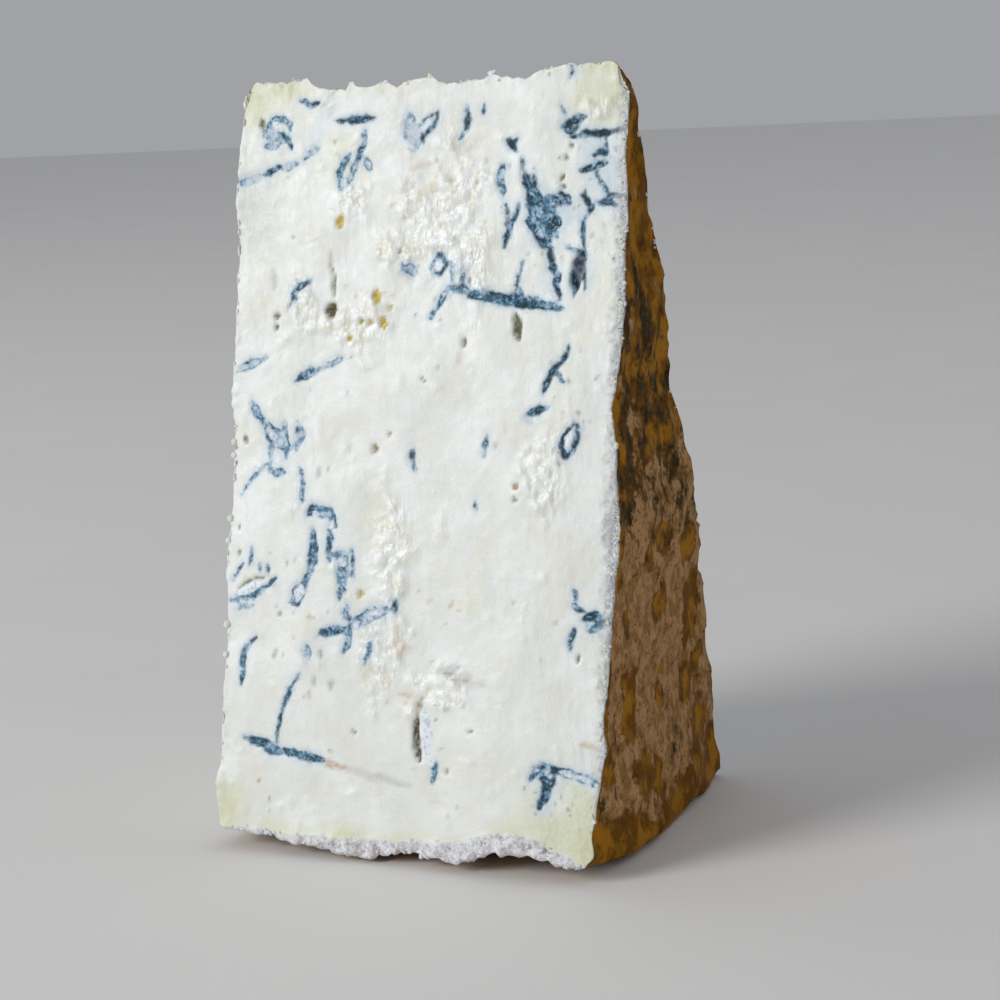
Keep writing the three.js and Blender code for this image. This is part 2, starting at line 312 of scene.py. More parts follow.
def slice_points(x0, r0, a):
    """Points on the slice's own axes for arrays of places: the CAD's surface, with torn edges."""
    x, r = round_corner(x0, r0, 1, RIND_CORNER_RADIUS)
    x, r = round_corner(x, r, -1, CUT_CORNER_RADIUS)
    y = r * np.sin(a * HALF_ANGLE)

    to_rind = smooth(x0, HALF_WIDTH - RELIEF_FADE, HALF_WIDTH)
    to_halved = smooth(-x0, HALF_WIDTH - RELIEF_FADE, HALF_WIDTH)
    to_heel = smooth(r0, WHEEL_RADIUS - RELIEF_FADE, WHEEL_RADIUS)
    to_point = 1 - smooth(r0, 0, RELIEF_FADE)
    to_front = smooth(-a, 0, 1)
    to_back = smooth(a, 0, 1)

    out_x = to_rind * rind_relief(y, r0, a) - to_halved * halved_relief(y, r0)
    out_r = to_heel * heel_relief(x0, y, a) - to_point * point_relief(x0)
    out_r = out_r + torn_edges(x0, r0, y, a)
    out_x = out_x - CORNER_FILL * (1 - smooth(r0, *CORNER_FILL_DOWN)) * to_halved
    thick = 0.5 * POINT_THICKNESS * np.exp(-r0 / POINT_FADE)
    settle = smooth(r0, 0, POINT_FADE)
    back_out = to_back * waves(CUT_WAVES, x0, r0, CUT_SEEDS["back"])
    front_out = to_front * waves(CUT_WAVES, x0, r0, CUT_SEEDS["front"])
    out_y = settle * (back_out - front_out)

    reach = r + out_r
    turn = a * HALF_ANGLE
    z = WHEEL_RADIUS - reach * np.cos(turn)
    ground = FLAT_SPOT_RISE + HEEL_CLEARANCE * smooth(np.abs(y), HEEL_CALM_FROM, HEEL_CALM_TO)
    z = np.maximum(z, ground)
    return np.stack([x + out_x, reach * np.sin(turn) + a * thick + out_y, z], axis=-1)


# ---- The fine mesh's net of cells ------------------------------------------------------------

CELLS_ACROSS = 160
CELLS_THROUGH = 52
CELLS_DOWN = 288
COARSE = 2  # the hidden cuts have one cell for this many of the front's, each way
CROWD_ACROSS = 0.30  # cells are smaller towards the edges, where the veins are
CROWD_THROUGH = 0.30
CROWD_DOWN = 0.12

FRONT, BACK, RIND, HALVED, POINT, HEEL = range(6)

# Where each face lies in the texture map: left, bottom, right, top.
MAP_PLACES = {
    FRONT: (0.005, 0.01, 0.555, 0.99),
    BACK: (0.565, 0.01, 0.775, 0.385),
    RIND: (0.565, 0.395, 0.775, 0.99),
    HALVED: (0.785, 0.395, 0.995, 0.99),
    HEEL: (0.785, 0.01, 0.995, 0.30),
    POINT: (0.785, 0.31, 0.995, 0.385),
}


def crowd(t, amount):
    return t - amount * np.sin(2 * math.pi * t) / (2 * math.pi)


def code(i, j, k):
    return (np.asarray(i) * (CELLS_THROUGH + 1) + j) * (CELLS_DOWN + 1) + k


def patch(corners):
    """Quads of a grid of vertex codes."""
    quads = [corners[:-1, :-1], corners[1:, :-1], corners[1:, 1:], corners[:-1, 1:]]
    return np.stack([q.ravel() for q in quads], axis=-1)


def bridge(fine, coarse):
    """Triangles between a fine row of codes and a coarse one."""
    tris = []
    for n in range(len(coarse) - 1):
        row = fine[n * COARSE : (n + 1) * COARSE + 1]
        middle = COARSE // 2
        tris += [(row[m], row[m + 1], coarse[n]) for m in range(middle)]
        tris.append((row[middle], coarse[n + 1], coarse[n]))
        tris += [(row[m], row[m + 1], coarse[n + 1]) for m in range(middle, COARSE)]
    return np.array(tris)


def net_of_cells():
    """All faces of the closed net, as (face it lies on, array of vertex codes)."""
    i = np.arange(CELLS_ACROSS + 1)
    j = np.arange(CELLS_THROUGH + 1)
    k = np.arange(CELLS_DOWN + 1)
    ic, kc = i[::COARSE], k[::COARSE]
    last = CELLS_THROUGH
    return [
        (FRONT, patch(code(i[:, None], 0, k[None, :]))),
        (BACK, patch(code(ic[:, None], last, kc[None, :]))),
        (RIND, patch(code(CELLS_ACROSS, j[:-1, None], k[None, :]))),
        (RIND, bridge(code(CELLS_ACROSS, last - 1, k), code(CELLS_ACROSS, last, kc))),
        (HALVED, bridge(code(0, 0, k), code(0, 1, kc))),
        (HALVED, patch(code(0, j[1:, None], kc[None, :]))),
        (POINT, bridge(code(i, 0, 0), code(ic, 1, 0))),
        (POINT, patch(code(ic[:, None], j[None, 1:], 0))),
        (HEEL, patch(code(i[:, None], j[None, :-1], CELLS_DOWN))),
        (HEEL, bridge(code(i, last - 1, CELLS_DOWN), code(ic, last, CELLS_DOWN))),
    ]


# ---- Marks that the photo shows on the front cut ---------------------------------------------
# A stroke is (width in mm, ink from 0 pale to 1 black, pixels that it runs through).

NEEDLES_AND_TRACKS = [
    (1.0, 0.65, [(302, 101), (311, 106), (320, 103)]),
    (1.4, 0.66, [(337, 120), (356, 121), (376, 119)]),
    (1.1, 0.52, [(469, 106), (468, 120), (461, 138)]),
    (0.8, 0.38, [(484, 103), (483, 112)]),
    (0.7, 0.80, [(521, 160), (523, 171)]),
    (1.1, 0.75, [(518, 203), (510, 225), (502, 249)]),
    (0.9, 0.65, [(505, 203), (506, 226)]),
    (1.5, 0.64, [(548, 245), (550, 265), (556, 280), (559, 300)]),
    (0.8, 0.55, [(523, 260), (518, 275), (514, 285), (526, 300)]),
    (0.7, 0.70, [(564, 246), (582, 253)]),
    (0.9, 0.70, [(571, 270), (573, 297)]),
    (0.7, 0.55, [(584, 250), (583, 290)]),
    (0.9, 0.80, [(572, 64), (576, 71), (584, 72)]),
    (0.8, 0.80, [(563, 106), (567, 114)]),
    (1.3, 0.85, [(572, 136), (600, 134), (623, 129)]),
    (1.1, 0.70, [(606, 139), (606, 150), (593, 155)]),
    (1.1, 0.75, [(606, 162), (592, 166), (580, 171)]),
    (0.7, 0.75, [(596, 170), (600, 182), (607, 193)]),
    (0.9, 0.85, [(607, 193), (620, 196), (636, 197)]),
    (0.8, 0.50, [(588, 212), (583, 222), (583, 235), (584, 249)]),
    (2.4, 0.58, [(466, 294), (500, 299), (531, 303), (556, 306)]),
    (1.9, 0.55, [(540, 304), (553, 306), (562, 309)]),
    (1.2, 0.50, [(446, 287), (460, 289), (474, 296)]),
    (1.1, 0.50, [(447, 288), (441, 300), (437, 308), (429, 319)]),
    (1.0, 0.45, [(461, 264), (462, 277), (464, 288)]),
    (1.3, 0.75, [(569, 344), (567, 355), (560, 364), (553, 371), (547, 385), (545, 392)]),
    (1.0, 0.75, [(553, 368), (564, 381)]),
    (1.6, 0.75, [(528, 415), (540, 410), (550, 407)]),
    (1.0, 0.50, [(487, 433), (485, 445), (483, 457)]),
    (1.0, 0.60, [(411, 447), (412, 458), (414, 471)]),
    (1.5, 0.58, [(295, 380), (303, 375), (315, 369)]),
    (1.1, 0.45, [(299, 467), (302, 480), (303, 503)]),
    (0.6, 0.35, [(275, 458), (259, 471), (247, 484), (240, 496)]),
    (0.9, 0.50, [(251, 546), (251, 556), (250, 565)]),
    (0.8, 0.40, [(261, 563), (261, 571)]),
    (1.0, 0.45, [(269, 564), (269, 572)]),
    (0.8, 0.35, [(243, 562), (238, 570), (233, 581)]),
    (1.0, 0.12, [(235, 609), (244, 608), (254, 604)]),
    (1.2, 0.45, [(256, 635), (246, 648), (243, 660), (241, 683)]),
    (1.0, 0.65, [(300, 674), (291, 690), (283, 707), (279, 722), (277, 742)]),
    (1.8, 0.60, [(245, 737), (262, 742), (280, 748)]),
    (2.2, 0.42, [(262, 744), (274, 749), (286, 752)]),
    (2.0, 0.55, [(280, 748), (300, 755), (322, 762)]),
    (0.9, 0.60, [(573, 590), (576, 599)]),
    (1.3, 0.60, [(574, 630), (571, 640), (571, 649)]),
    (0.7, 0.55, [(600, 622), (613, 623)]),
    (1.1, 0.45, [(371, 641), (366, 654), (364, 665)]),
    (1.0, 0.42, [(434, 762), (432, 772), (431, 783)]),
    (0.7, 0.40, [(474, 502), (475, 510)]),
    (1.4, 0.60, [(262, 176), (271, 171), (282, 166)]),
    (1.7, 0.16, [(240, 183), (252, 180), (265, 175)]),
    (1.4, 0.10, [(280, 167), (290, 165), (297, 163)]),
    (0.6, 0.45, [(612, 565), (611, 574), (609, 582)]),
    (1.1, 0.50, [(291, 306), (295, 292), (302, 285), (312, 279)]),
    (0.9, 0.40, [(296, 292), (297, 303)]),
]

# Broad veins: dark threads on a pale blue ground, ringed with dark mould.
NETWORKS = [
    (1.4, 0.38, [(272, 121), (282, 120), (290, 124), (291, 131)]),
    (1.5, 0.30, [(262, 131), (269, 137), (275, 142)]),
    (1.3, 0.52, [(283, 132), (289, 139), (292, 149)]),
    (2.2, 0.14, [(270, 130), (279, 137), (285, 142)]),
    (1.4, 0.22, [(266, 145), (277, 146)]),
    (1.1, 0.36, [(271, 124), (269, 131)]),
    (1.5, 0.14, [(304, 158), (311, 153), (319, 147)]),
    (0.6, 0.55, [(304, 159), (308, 152), (314, 148)]),
    (1.3, 0.58, [(366, 131), (362, 146), (356, 160)]),
    (1.5, 0.40, [(350, 153), (343, 163), (339, 176), (340, 190)]),
    (1.5, 0.30, [(356, 160), (351, 172), (345, 188)]),
    (2.0, 0.08, [(366, 158), (368, 168)]),
    (2.6, 0.10, [(409, 116), (409, 130), (411, 142)]),
    (2.4, 0.08, [(415, 126), (416, 138), (417, 148)]),
    (1.5, 0.34, [(409, 114), (413, 118), (415, 122)]),
    (1.2, 0.34, [(411, 131), (414, 136)]),
    (1.0, 0.24, [(405, 134), (406, 138)]),
    (0.8, 0.60, [(438, 112), (436, 122), (429, 130), (422, 139)]),
    (0.7, 0.52, [(435, 114), (427, 119), (420, 127), (421, 136)]),
    (1.3, 0.64, [(421, 135), (423, 140)]),
    (1.6, 0.85, [(508, 139), (512, 145), (517, 152)]),
    (1.1, 0.80, [(518, 138), (514, 146)]),
    (1.9, 0.70, [(525, 171), (527, 182), (529, 195)]),
    (3.2, 0.62, [(530, 186), (535, 200), (546, 212)]),
    (3.6, 0.55, [(527, 206), (539, 213), (552, 218)]),
    (3.8, 0.55, [(529, 222), (542, 229), (554, 233)]),
    (2.8, 0.55, [(538, 198), (548, 210), (557, 224)]),
    (1.0, 0.70, [(534, 176), (533, 192)]),
    (2.2, 0.62, [(536, 236), (544, 241), (551, 246)]),
    (1.1, 0.65, [(547, 195), (559, 203), (571, 203)]),
    (1.0, 0.80, [(556, 193), (565, 196), (572, 200)]),
    (1.6, 0.65, [(562, 128), (574, 122), (587, 117)]),
    (1.2, 0.65, [(563, 126), (570, 130), (578, 128)]),
    (1.1, 0.70, [(582, 195), (586, 201), (591, 208)]),
    (1.2, 0.60, [(595, 201), (605, 203), (617, 206)]),
    (1.1, 0.60, [(593, 203), (588, 215)]),
    (0.8, 0.65, [(585, 190), (584, 201)]),
    (0.8, 0.55, [(607, 194), (612, 205)]),
    (1.7, 0.40, [(250, 403), (254, 410), (258, 417)]),
    (1.7, 0.40, [(257, 416), (266, 422), (274, 432)]),
    (3.0, 0.20, [(266, 428), (275, 436), (288, 450)]),
    (0.9, 0.55, [(263, 424), (270, 440), (280, 447)]),
    (1.8, 0.35, [(298, 420), (300, 434), (296, 450)]),
    (1.6, 0.35, [(284, 424), (285, 440), (287, 456)]),
    (1.4, 0.35, [(272, 440), (270, 458)]),
    (1.4, 0.40, [(268, 470), (276, 473), (285, 472)]),
    (1.6, 0.22, [(236, 372), (250, 364), (267, 357)]),
    (0.7, 0.58, [(240, 366), (250, 361), (260, 358)]),
    (0.8, 0.60, [(256, 364), (262, 360), (266, 355)]),
    (1.2, 0.08, [(310, 373), (326, 365), (342, 358)]),
    (2.2, 0.42, [(307, 516), (313, 508), (322, 510), (330, 514), (335, 526)]),
    (1.9, 0.50, [(312, 528), (314, 546), (312, 560), (310, 572), (306, 585)]),
    (1.4, 0.42, [(331, 528), (330, 544), (331, 561)]),
    (2.3, 0.38, [(334, 553), (343, 557), (348, 573)]),
    (1.9, 0.40, [(340, 566), (342, 580), (341, 598)]),
    (0.9, 0.45, [(352, 549), (354, 577)]),
    (1.9, 0.72, [(320, 634), (333, 632), (346, 629)]),
    (2.6, 0.28, [(350, 626), (363, 619), (376, 613), (390, 609)]),
    (0.7, 0.45, [(358, 624), (372, 617), (384, 611)]),
    (1.3, 0.42, [(395, 602), (395, 610)]),
    (1.5, 0.45, [(350, 603), (347, 612), (352, 622)]),
    (1.5, 0.45, [(350, 628), (348, 641), (345, 652)]),
    (2.1, 0.68, [(531, 778), (538, 770), (550, 769), (562, 772)]),
    (2.0, 0.42, [(558, 771), (572, 775), (585, 779), (598, 783)]),
    (1.7, 0.75, [(540, 776), (547, 784), (545, 796), (541, 807)]),
    (1.1, 0.60, [(554, 776), (548, 790)]),
    (1.8, 0.60, [(584, 621), (594, 616), (604, 621)]),
    (1.5, 0.60, [(587, 627), (596, 628), (603, 623)]),
    (1.3, 0.45, [(571, 605), (579, 609), (586, 613)]),
    (1.8, 0.25, [(308, 646), (309, 658)]),
    (1.9, 0.15, [(404, 268), (410, 268), (414, 277)]),
    (1.2, 0.20, [(402, 262), (403, 272)]),
    (1.6, 0.45, [(503, 165), (499, 180), (502, 195)]),
    (1.1, 0.35, [(450, 262), (452, 280)]),
]

# Lens-shaped holes: a dark outline round a white, crystalline heart.
# (width of the line, ink, width of the heart, pixels of the outline, pixels of the heart)
LENSES = [
    (0.9, 0.50, 1.7,
     [(430, 268), (438, 254), (446, 262), (437, 274), (430, 268)],
     [(438, 262), (438, 266)]),
    (1.1, 0.80, 1.6,
     [(575, 423), (567, 431), (562, 446), (565, 456), (573, 450), (579, 438), (578, 426), (575, 423)],
     [(571, 433), (568, 446)]),
    (1.0, 0.50, 2.0,
     [(305, 582), (297, 586), (292, 602), (298, 604), (304, 590), (305, 582)],
     [(301, 587), (297, 599)]),
    (1.2, 0.42, 2.0,
     [(232, 600), (244, 598), (257, 593), (270, 585), (277, 579)],
     [(236, 594), (262, 584)]),
    (0.8, 0.45, 1.7, [(270, 456), (269, 470)], [(277, 455), (276, 467)]),
]

# White hearts inside the networks.
HEARTS = [
    (1.3, [(277, 126), (280, 129)]),
    (1.3, [(343, 179), (343, 186)]),
    (1.2, [(431, 119), (427, 123), (422, 130)]),
    (1.2, [(271, 434), (274, 439)]),
    (1.3, [(314, 512), (318, 515)]),
    (1.2, [(331, 522), (332, 528)]),
    (1.7, [(341, 559), (344, 565)]),
    (1.3, [(351, 623), (356, 626)]),
    (1.1, [(560, 773), (592, 781)]),
    (1.0, [(364, 616), (384, 611)]),
    (2.0, [(423, 710), (426, 730), (428, 750), (431, 766)]),
]

# Small holes: (width, depth, colour name, pixels).
HOLES = [
    (1.9, 0.6, "gold", [(340, 219), (340, 225)]),
    (1.8, 0.7, "gold", [(377, 291), (377, 304)]),
    (1.6, 0.6, "gold", [(383, 320), (383, 328)]),
    (2.4, 1.7, "brown", [(332, 306), (332, 314)]),
    (1.8, 1.6, "olive", [(514, 315), (518, 326), (520, 339)]),
    (2.7, 2.0, "slate", [(582, 249), (578, 262), (575, 277), (574, 294)]),
    (1.4, 1.3, "umber", [(418, 716), (415, 728), (415, 746), (419, 762)]),
    (0.6, 0.6, "brown", [(419, 700), (418, 708), (418, 718)]),
    (0.6, 0.5, "olive", [(352, 731), (354, 733)]),
    (1.0, 1.2, "brown", [(464, 337), (464, 346)]),
    (1.0, 1.0, "gold", [(362, 321), (362, 322)]),
    (0.9, 1.0, "gold", [(371, 322), (371, 323)]),
    (0.9, 1.0, "gold", [(351, 337), (351, 339)]),
    (0.8, 0.8, "gold", [(390, 306), (390, 307)]),
    (0.8, 0.8, "olive", [(278, 315), (277, 318)]),
    (0.7, 0.8, "olive", [(276, 326), (276, 328)]),
    (1.2, 1.2, "amber", [(375, 447), (375, 451)]),
    (0.8, 0.8, "amber", [(390, 435), (391, 436)]),
    (0.8, 0.8, "amber", [(517, 486), (518, 488)]),
    (0.7, 0.7, "olive", [(516, 500), (516, 502)]),
    (0.6, 0.7, "olive", [(567, 157), (567, 159)]),
    (0.8, 0.7, "olive", [(563, 177), (562, 181)]),
    (0.8, 0.7, "olive", [(564, 186), (565, 188)]),
    (0.7, 0.6, "olive", [(572, 143), (573, 146)]),
    (1.3, 0.6, "olive", [(263, 121), (264, 127)]),
    (1.0, 0.7, "umber", [(274, 132), (274, 136)]),
    (0.8, 0.8, "gold", [(361, 590), (361, 596)]),
    (0.9, 0.6, "brown", [(245, 437), (247, 441)]),
    (0.45, 0.6, "olive", [(238, 589), (246, 583), (256, 579), (269, 576)]),
    (0.5, 0.5, "olive", [(332, 264), (334, 282), (334, 296)]),
    (0.5, 0.5, "amber", [(398, 249), (399, 251)]),
    (0.4, 0.4, "olive", [(422, 377), (426, 382)]),
    (0.7, 0.5, "olive", [(281, 612), (281, 616)]),
    (0.5, 0.5, "olive", [(579, 654), (577, 663)]),
    (0.5, 0.5, "olive", [(446, 770), (446, 773)]),
    (0.5, 0.5, "olive", [(470, 730), (470, 733)]),
    (0.6, 0.3, "olive", [(236, 447), (236, 449)]),
    (0.5, 0.3, "olive", [(236, 461), (236, 462)]),
    (0.6, 0.3, "olive", [(239, 527), (239, 529)]),
    (0.6, 0.3, "olive", [(239, 550), (239, 552)]),
]

# Faint stains in the paste, and zones darkened as painted shade: (width, strength, colour name,
# pixels).
STAINS = [
    (1.0, 0.55, "dove", [(321, 108), (337, 93)]),
    (1.3, 0.45, "dove", [(369, 160), (369, 170)]),
    (1.4, 0.35, "olive", [(504, 166), (498, 190)]),
    (1.2, 0.40, "rose", [(409, 171), (420, 166), (431, 163)]),
    (1.8, 0.35, "rose", [(456, 150), (466, 148), (472, 145)]),
    (1.4, 0.35, "dove", [(434, 186), (435, 192)]),
    (1.2, 0.30, "dove", [(449, 176), (449, 182)]),
    (1.6, 0.45, "dove", [(273, 269), (275, 288)]),
    (1.0, 0.40, "olive", [(330, 250), (332, 264)]),
    (3.0, 0.35, "dove", [(408, 266), (409, 278)]),
    (1.4, 0.40, "rose", [(461, 350), (459, 366)]),
    (1.2, 0.55, "dove", [(319, 468), (319, 476)]),
    (1.6, 0.40, "dove", [(524, 416), (534, 424)]),
    (0.7, 0.70, "ink", [(569, 380), (570, 382)]),
    (0.6, 0.55, "ink", [(550, 362), (550, 364)]),
    (0.6, 0.70, "ink", [(579, 413), (580, 415)]),
    (0.6, 0.70, "ink", [(559, 463), (560, 465)]),
    (1.0, 0.55, "olive", [(278, 648), (275, 656)]),
    (0.8, 0.50, "ink", [(322, 650), (322, 659)]),
    (1.0, 0.45, "olive", [(315, 677), (315, 686)]),
    (1.2, 0.45, "ink", [(332, 679), (332, 690)]),
    (0.8, 0.45, "amber", [(310, 692), (310, 698)]),
    (1.2, 0.25, "rose", [(446, 536), (447, 540)]),
    (3.2, 0.30, "rose", [(390, 650), (412, 648)]),
    (2.4, 0.30, "mauve", [(440, 671), (455, 677), (486, 684)]),
    (1.2, 0.45, "dove", [(436, 673), (448, 670), (458, 667)]),
    (0.9, 0.65, "ink", [(441, 672), (450, 674), (460, 667)]),
    (0.8, 0.50, "ink", [(446, 676), (460, 680), (470, 681)]),
    (1.5, 0.60, "amber", [(312, 760), (328, 764), (345, 768)]),
    (1.9, 0.30, "mauve", [(340, 767), (372, 776), (412, 787)]),
    (1.2, 0.35, "dove", [(378, 780), (396, 784), (412, 788)]),
    (0.8, 0.60, "ink", [(282, 612), (282, 616)]),
    (0.6, 0.70, "umber", [(409, 149), (416, 152)]),
    (1.4, 0.30, "dove", [(412, 154), (412, 157)]),
    (3.0, 0.30, "mauve", [(456, 140), (461, 148)]),
    (1.8, 0.60, "honey", [(432, 186), (431, 191)]),
    (1.4, 0.60, "honey", [(451, 177), (451, 182)]),
    (1.1, 0.55, "honey", [(456, 190), (456, 193)]),
    (1.0, 0.55, "honey", [(477, 168), (477, 176)]),
    # Painted shade: a wide grey tone down the left of the cut.
    (11.0, 0.45, "shade", [(262, 172), (258, 245)]),
    (0.7, 0.35, "rose", [(430, 802), (442, 804)]),
    (0.7, 0.50, "amber", [(399, 694), (413, 698)]),
    (0.7, 0.60, "ink", [(496, 443), (496, 448)]),
    (1.0, 0.45, "amber", [(580, 745), (596, 748)]),
    (0.6, 0.60, "ink", [(536, 812), (537, 814)]),
    (0.6, 0.60, "ink", [(567, 808), (568, 810)]),
    (4.0, 0.35, "sky", [(545, 800), (548, 815)]),
    # Olive-yellow zones along the edges: yellowed paste, and at the lower right also painted shade
    # where the light falls off.
    (11.0, 0.52, "yellowing_and_shade", [(560, 838), (594, 842)]),
    (8.0, 0.50, "yellowing_and_shade", [(584, 800), (594, 832)]),
    (7.0, 0.30, "yellowing_and_shade", [(254, 92), (256, 116)]),
    (3.0, 0.30, "yellowing_and_shade", [(270, 90), (300, 92)]),
    (8.0, 0.26, "yellowing_and_shade", [(590, 84), (618, 90)]),
    (5.0, 0.22, "yellowing_and_shade", [(224, 790), (226, 826)]),
    (8.0, 0.50, "sky", [(590, 145), (606, 165), (612, 200)]),
    (6.0, 0.40, "sky", [(535, 190), (560, 215), (590, 210)]),
    (4.0, 0.35, "sky", [(583, 250), (588, 290)]),
    (4.0, 0.30, "sky", [(545, 270), (552, 300)]),
    (3.5, 0.30, "sky", [(300, 165), (335, 100)]),
    (4.0, 0.30, "sky", [(596, 622), (600, 628)]),
    (1.3, 0.55, "ink", [(571, 632), (571, 648)]),
    (0.7, 0.30, "mauve", [(320, 240), (300, 243)]),
]

# The rind's dark specks along the front cut's margin.
MARGIN_SPECKS = [
    (617, 345), (616, 352), (614, 362), (615, 372), (613, 384), (614, 394), (619, 225), (616, 240),
    (614, 258), (612, 520), (628, 196), (631, 197), (607, 640), (604, 700), (597, 780),
]

# Where fine specks are strewn: (lowest pixel, highest pixel, how many, their colours).
SPECK_ZONES = [
    ((555, 130), (622, 245), 34, ("ink", "ink", "olive")),
    ((500, 160), (560, 300), 16, ("ink", "olive")),
    ((400, 250), (480, 320), 10, ("ink", "olive")),
    ((232, 540), (300, 620), 10, ("ink", "olive")),
    ((255, 115), (360, 190), 6, ("dove", "olive")),
    ((525, 765), (600, 815), 18, ("ink", "olive")),
    ((410, 700), (450, 790), 8, ("ink", "olive")),
    ((545, 340), (600, 470), 8, ("ink", "olive")),
    ((345, 285), (405, 345), 12, ("gold", "amber")),
    ((370, 590), (480, 705), 22, ("amber", "rose", "gold")),
    ((430, 150), (490, 265), 12, ("gold", "amber")),
    ((280, 600), (330, 700), 8, ("olive", "amber")),
    ((230, 95), (615, 830), 26, ("amber", "dove", "olive")),
]
SPECK_SEED = 57

# Patches where the knife tore the paste into grains: (pixel, half width, half height) in mm.
TORN = [
    ((455, 205), 6.5, 10.5),
    ((470, 255), 5.0, 8.0),
    ((425, 225), 7.0, 9.0),
    ((541, 480), 5.0, 7.0),
    ((391, 560), 4.2, 11.0),
    ((360, 325), 7.0, 6.0),
    ((395, 250), 5.0, 5.0),
    ((430, 690), 8.0, 5.0),
    ((385, 660), 5.0, 9.0),
    ((300, 310), 3.5, 6.0),
    ((600, 108), 2.8, 2.0),
    ((350, 205), 4.0, 4.5),
]

# Zones of yellower paste: (pixel, half width, half height) in mm.
YELLOWED = [
    ((250, 98), 8.0, 7.0),
    ((300, 84), 22.0, 2.5),
    ((608, 90), 9.0, 7.0),
    ((222, 815), 6.0, 9.0),
    ((592, 842), 13.0, 9.5),
    ((545, 838), 12.0, 5.0),
    ((400, 846), 50.0, 3.0),
    ((340, 160), 6.0, 5.0),
]

# Patches of the rinded face, by the photo: (pixel, half depth, half height) in mm.
GOLDEN = [
    ((629, 290), 3.5, 8.0),
    ((630, 372), 3.0, 4.0),
    ((624, 490), 3.5, 4.5),
    ((687, 542), 4.5, 4.5),
    ((659, 537), 4.0, 3.2),
    ((691, 606), 5.5, 6.0),
    ((657, 604), 4.0, 3.2),
    ((699, 655), 2.8, 2.5),
    ((690, 684), 3.2, 3.4),
    ((632, 706), 3.6, 6.2),
    ((665, 698), 2.6, 3.6),
    ((663, 667), 1.8, 1.6),
    ((703, 727), 5.0, 5.0),
    ((612, 773), 3.0, 3.6),
    ((645, 775), 5.2, 5.2),
    ((659, 782), 2.4, 5.6),
    ((701, 772), 7.5, 7.5),
    ((640, 320), 2.0, 5.0),
    ((646, 560), 2.2, 3.6),
    ((610, 720), 1.6, 9.0),
    ((604, 800), 1.8, 9.0),
    ((616, 560), 1.3, 6.0),
    ((627, 620), 2.0, 3.0),
]
SOOT = [
    (4.0, 0.8, [(633, 256), (640, 300), (648, 345), (657, 385)]),
    (3.4, 0.9, [(656, 376), (661, 390)]),
    (4.6, 0.6, [(626, 400), (634, 440), (640, 480)]),
    (4.0, 0.6, [(650, 400), (660, 440), (668, 490)]),
    (4.0, 0.6, [(668, 420), (676, 470)]),
    (4.0, 0.5, [(640, 505), (655, 520), (670, 512)]),
    (2.2, 0.9, [(629, 196), (634, 198)]),
    (2.2, 1.0, [(626, 692), (628, 700)]),
    (2.2, 0.9, [(667, 688), (668, 697)]),
    (2.4, 0.8, [(673, 742), (677, 754)]),
    (2.2, 0.9, [(661, 768), (663, 778)]),
    (2.2, 0.9, [(620, 790), (622, 799)]),
    (2.2, 0.9, [(611, 804), (613, 811)]),
    (2.2, 0.8, [(651, 798), (653, 806)]),
    (2.2, 0.7, [(668, 610), (670, 625)]),
    (2.2, 0.6, [(655, 575), (656, 585)]),
    (2.4, 0.5, [(648, 640), (650, 650)]),
    (2.4, 0.5, [(686, 700), (688, 712)]),
    (2.2, 0.6, [(640, 350), (644, 372)]),
    (2.2, 0.6, [(662, 330), (665, 352)]),
]

# Linear colours of the marks.
TINTS = {
    "gold": (0.60, 0.44, 0.04),
    "umber": (0.075, 0.050, 0.022),
    "honey": (0.62, 0.52, 0.27),
    # grey used as painted shade
    "shade": (0.60, 0.63, 0.60),
    "amber": (0.45, 0.25, 0.07),
    "brown": (0.27, 0.21, 0.11),
    "olive": (0.22, 0.23, 0.11),
    "slate": (0.095, 0.095, 0.135),
    "dove": (0.30, 0.34, 0.36),
    "rose": (0.60, 0.42, 0.33),
    "mauve": (0.40, 0.34, 0.36),
    "ink": (0.045, 0.10, 0.13),
    "sky": (0.47, 0.63, 0.74),
    # olive yellow of yellowed paste, also used as painted shade at the lower right
    "yellowing_and_shade": (0.55, 0.57, 0.35),
}


# ---- Fields: how near each vertex is to the marks --------------------------------------------


def distance_to_run(px, py, run):
    """Distance to a run of points, and how far along it (0 to 1) the nearest place is."""
    run = np.array(run, float)
    if len(run) == 1:
        return np.hypot(px - run[0, 0], py - run[0, 1]), np.full(px.shape, 0.5)
    steps = np.hypot(*np.diff(run, axis=0).T)
    starts = np.concatenate([[0.0], np.cumsum(steps)])
    best = np.full(px.shape, FAR)
    along = np.zeros(px.shape)
    for n, step in enumerate(steps):
        if step < TINY:
            continue
        dx, dy = (run[n + 1] - run[n]) / step
        t = np.clip((px - run[n, 0]) * dx + (py - run[n, 1]) * dy, 0, step)
        d = np.hypot(px - run[n, 0] - t * dx, py - run[n, 1] - t * dy)
        nearer = d < best
        best = np.where(nearer, d, best)
        along = np.where(nearer, (starts[n] + t) / starts[-1], along)
    return best, along


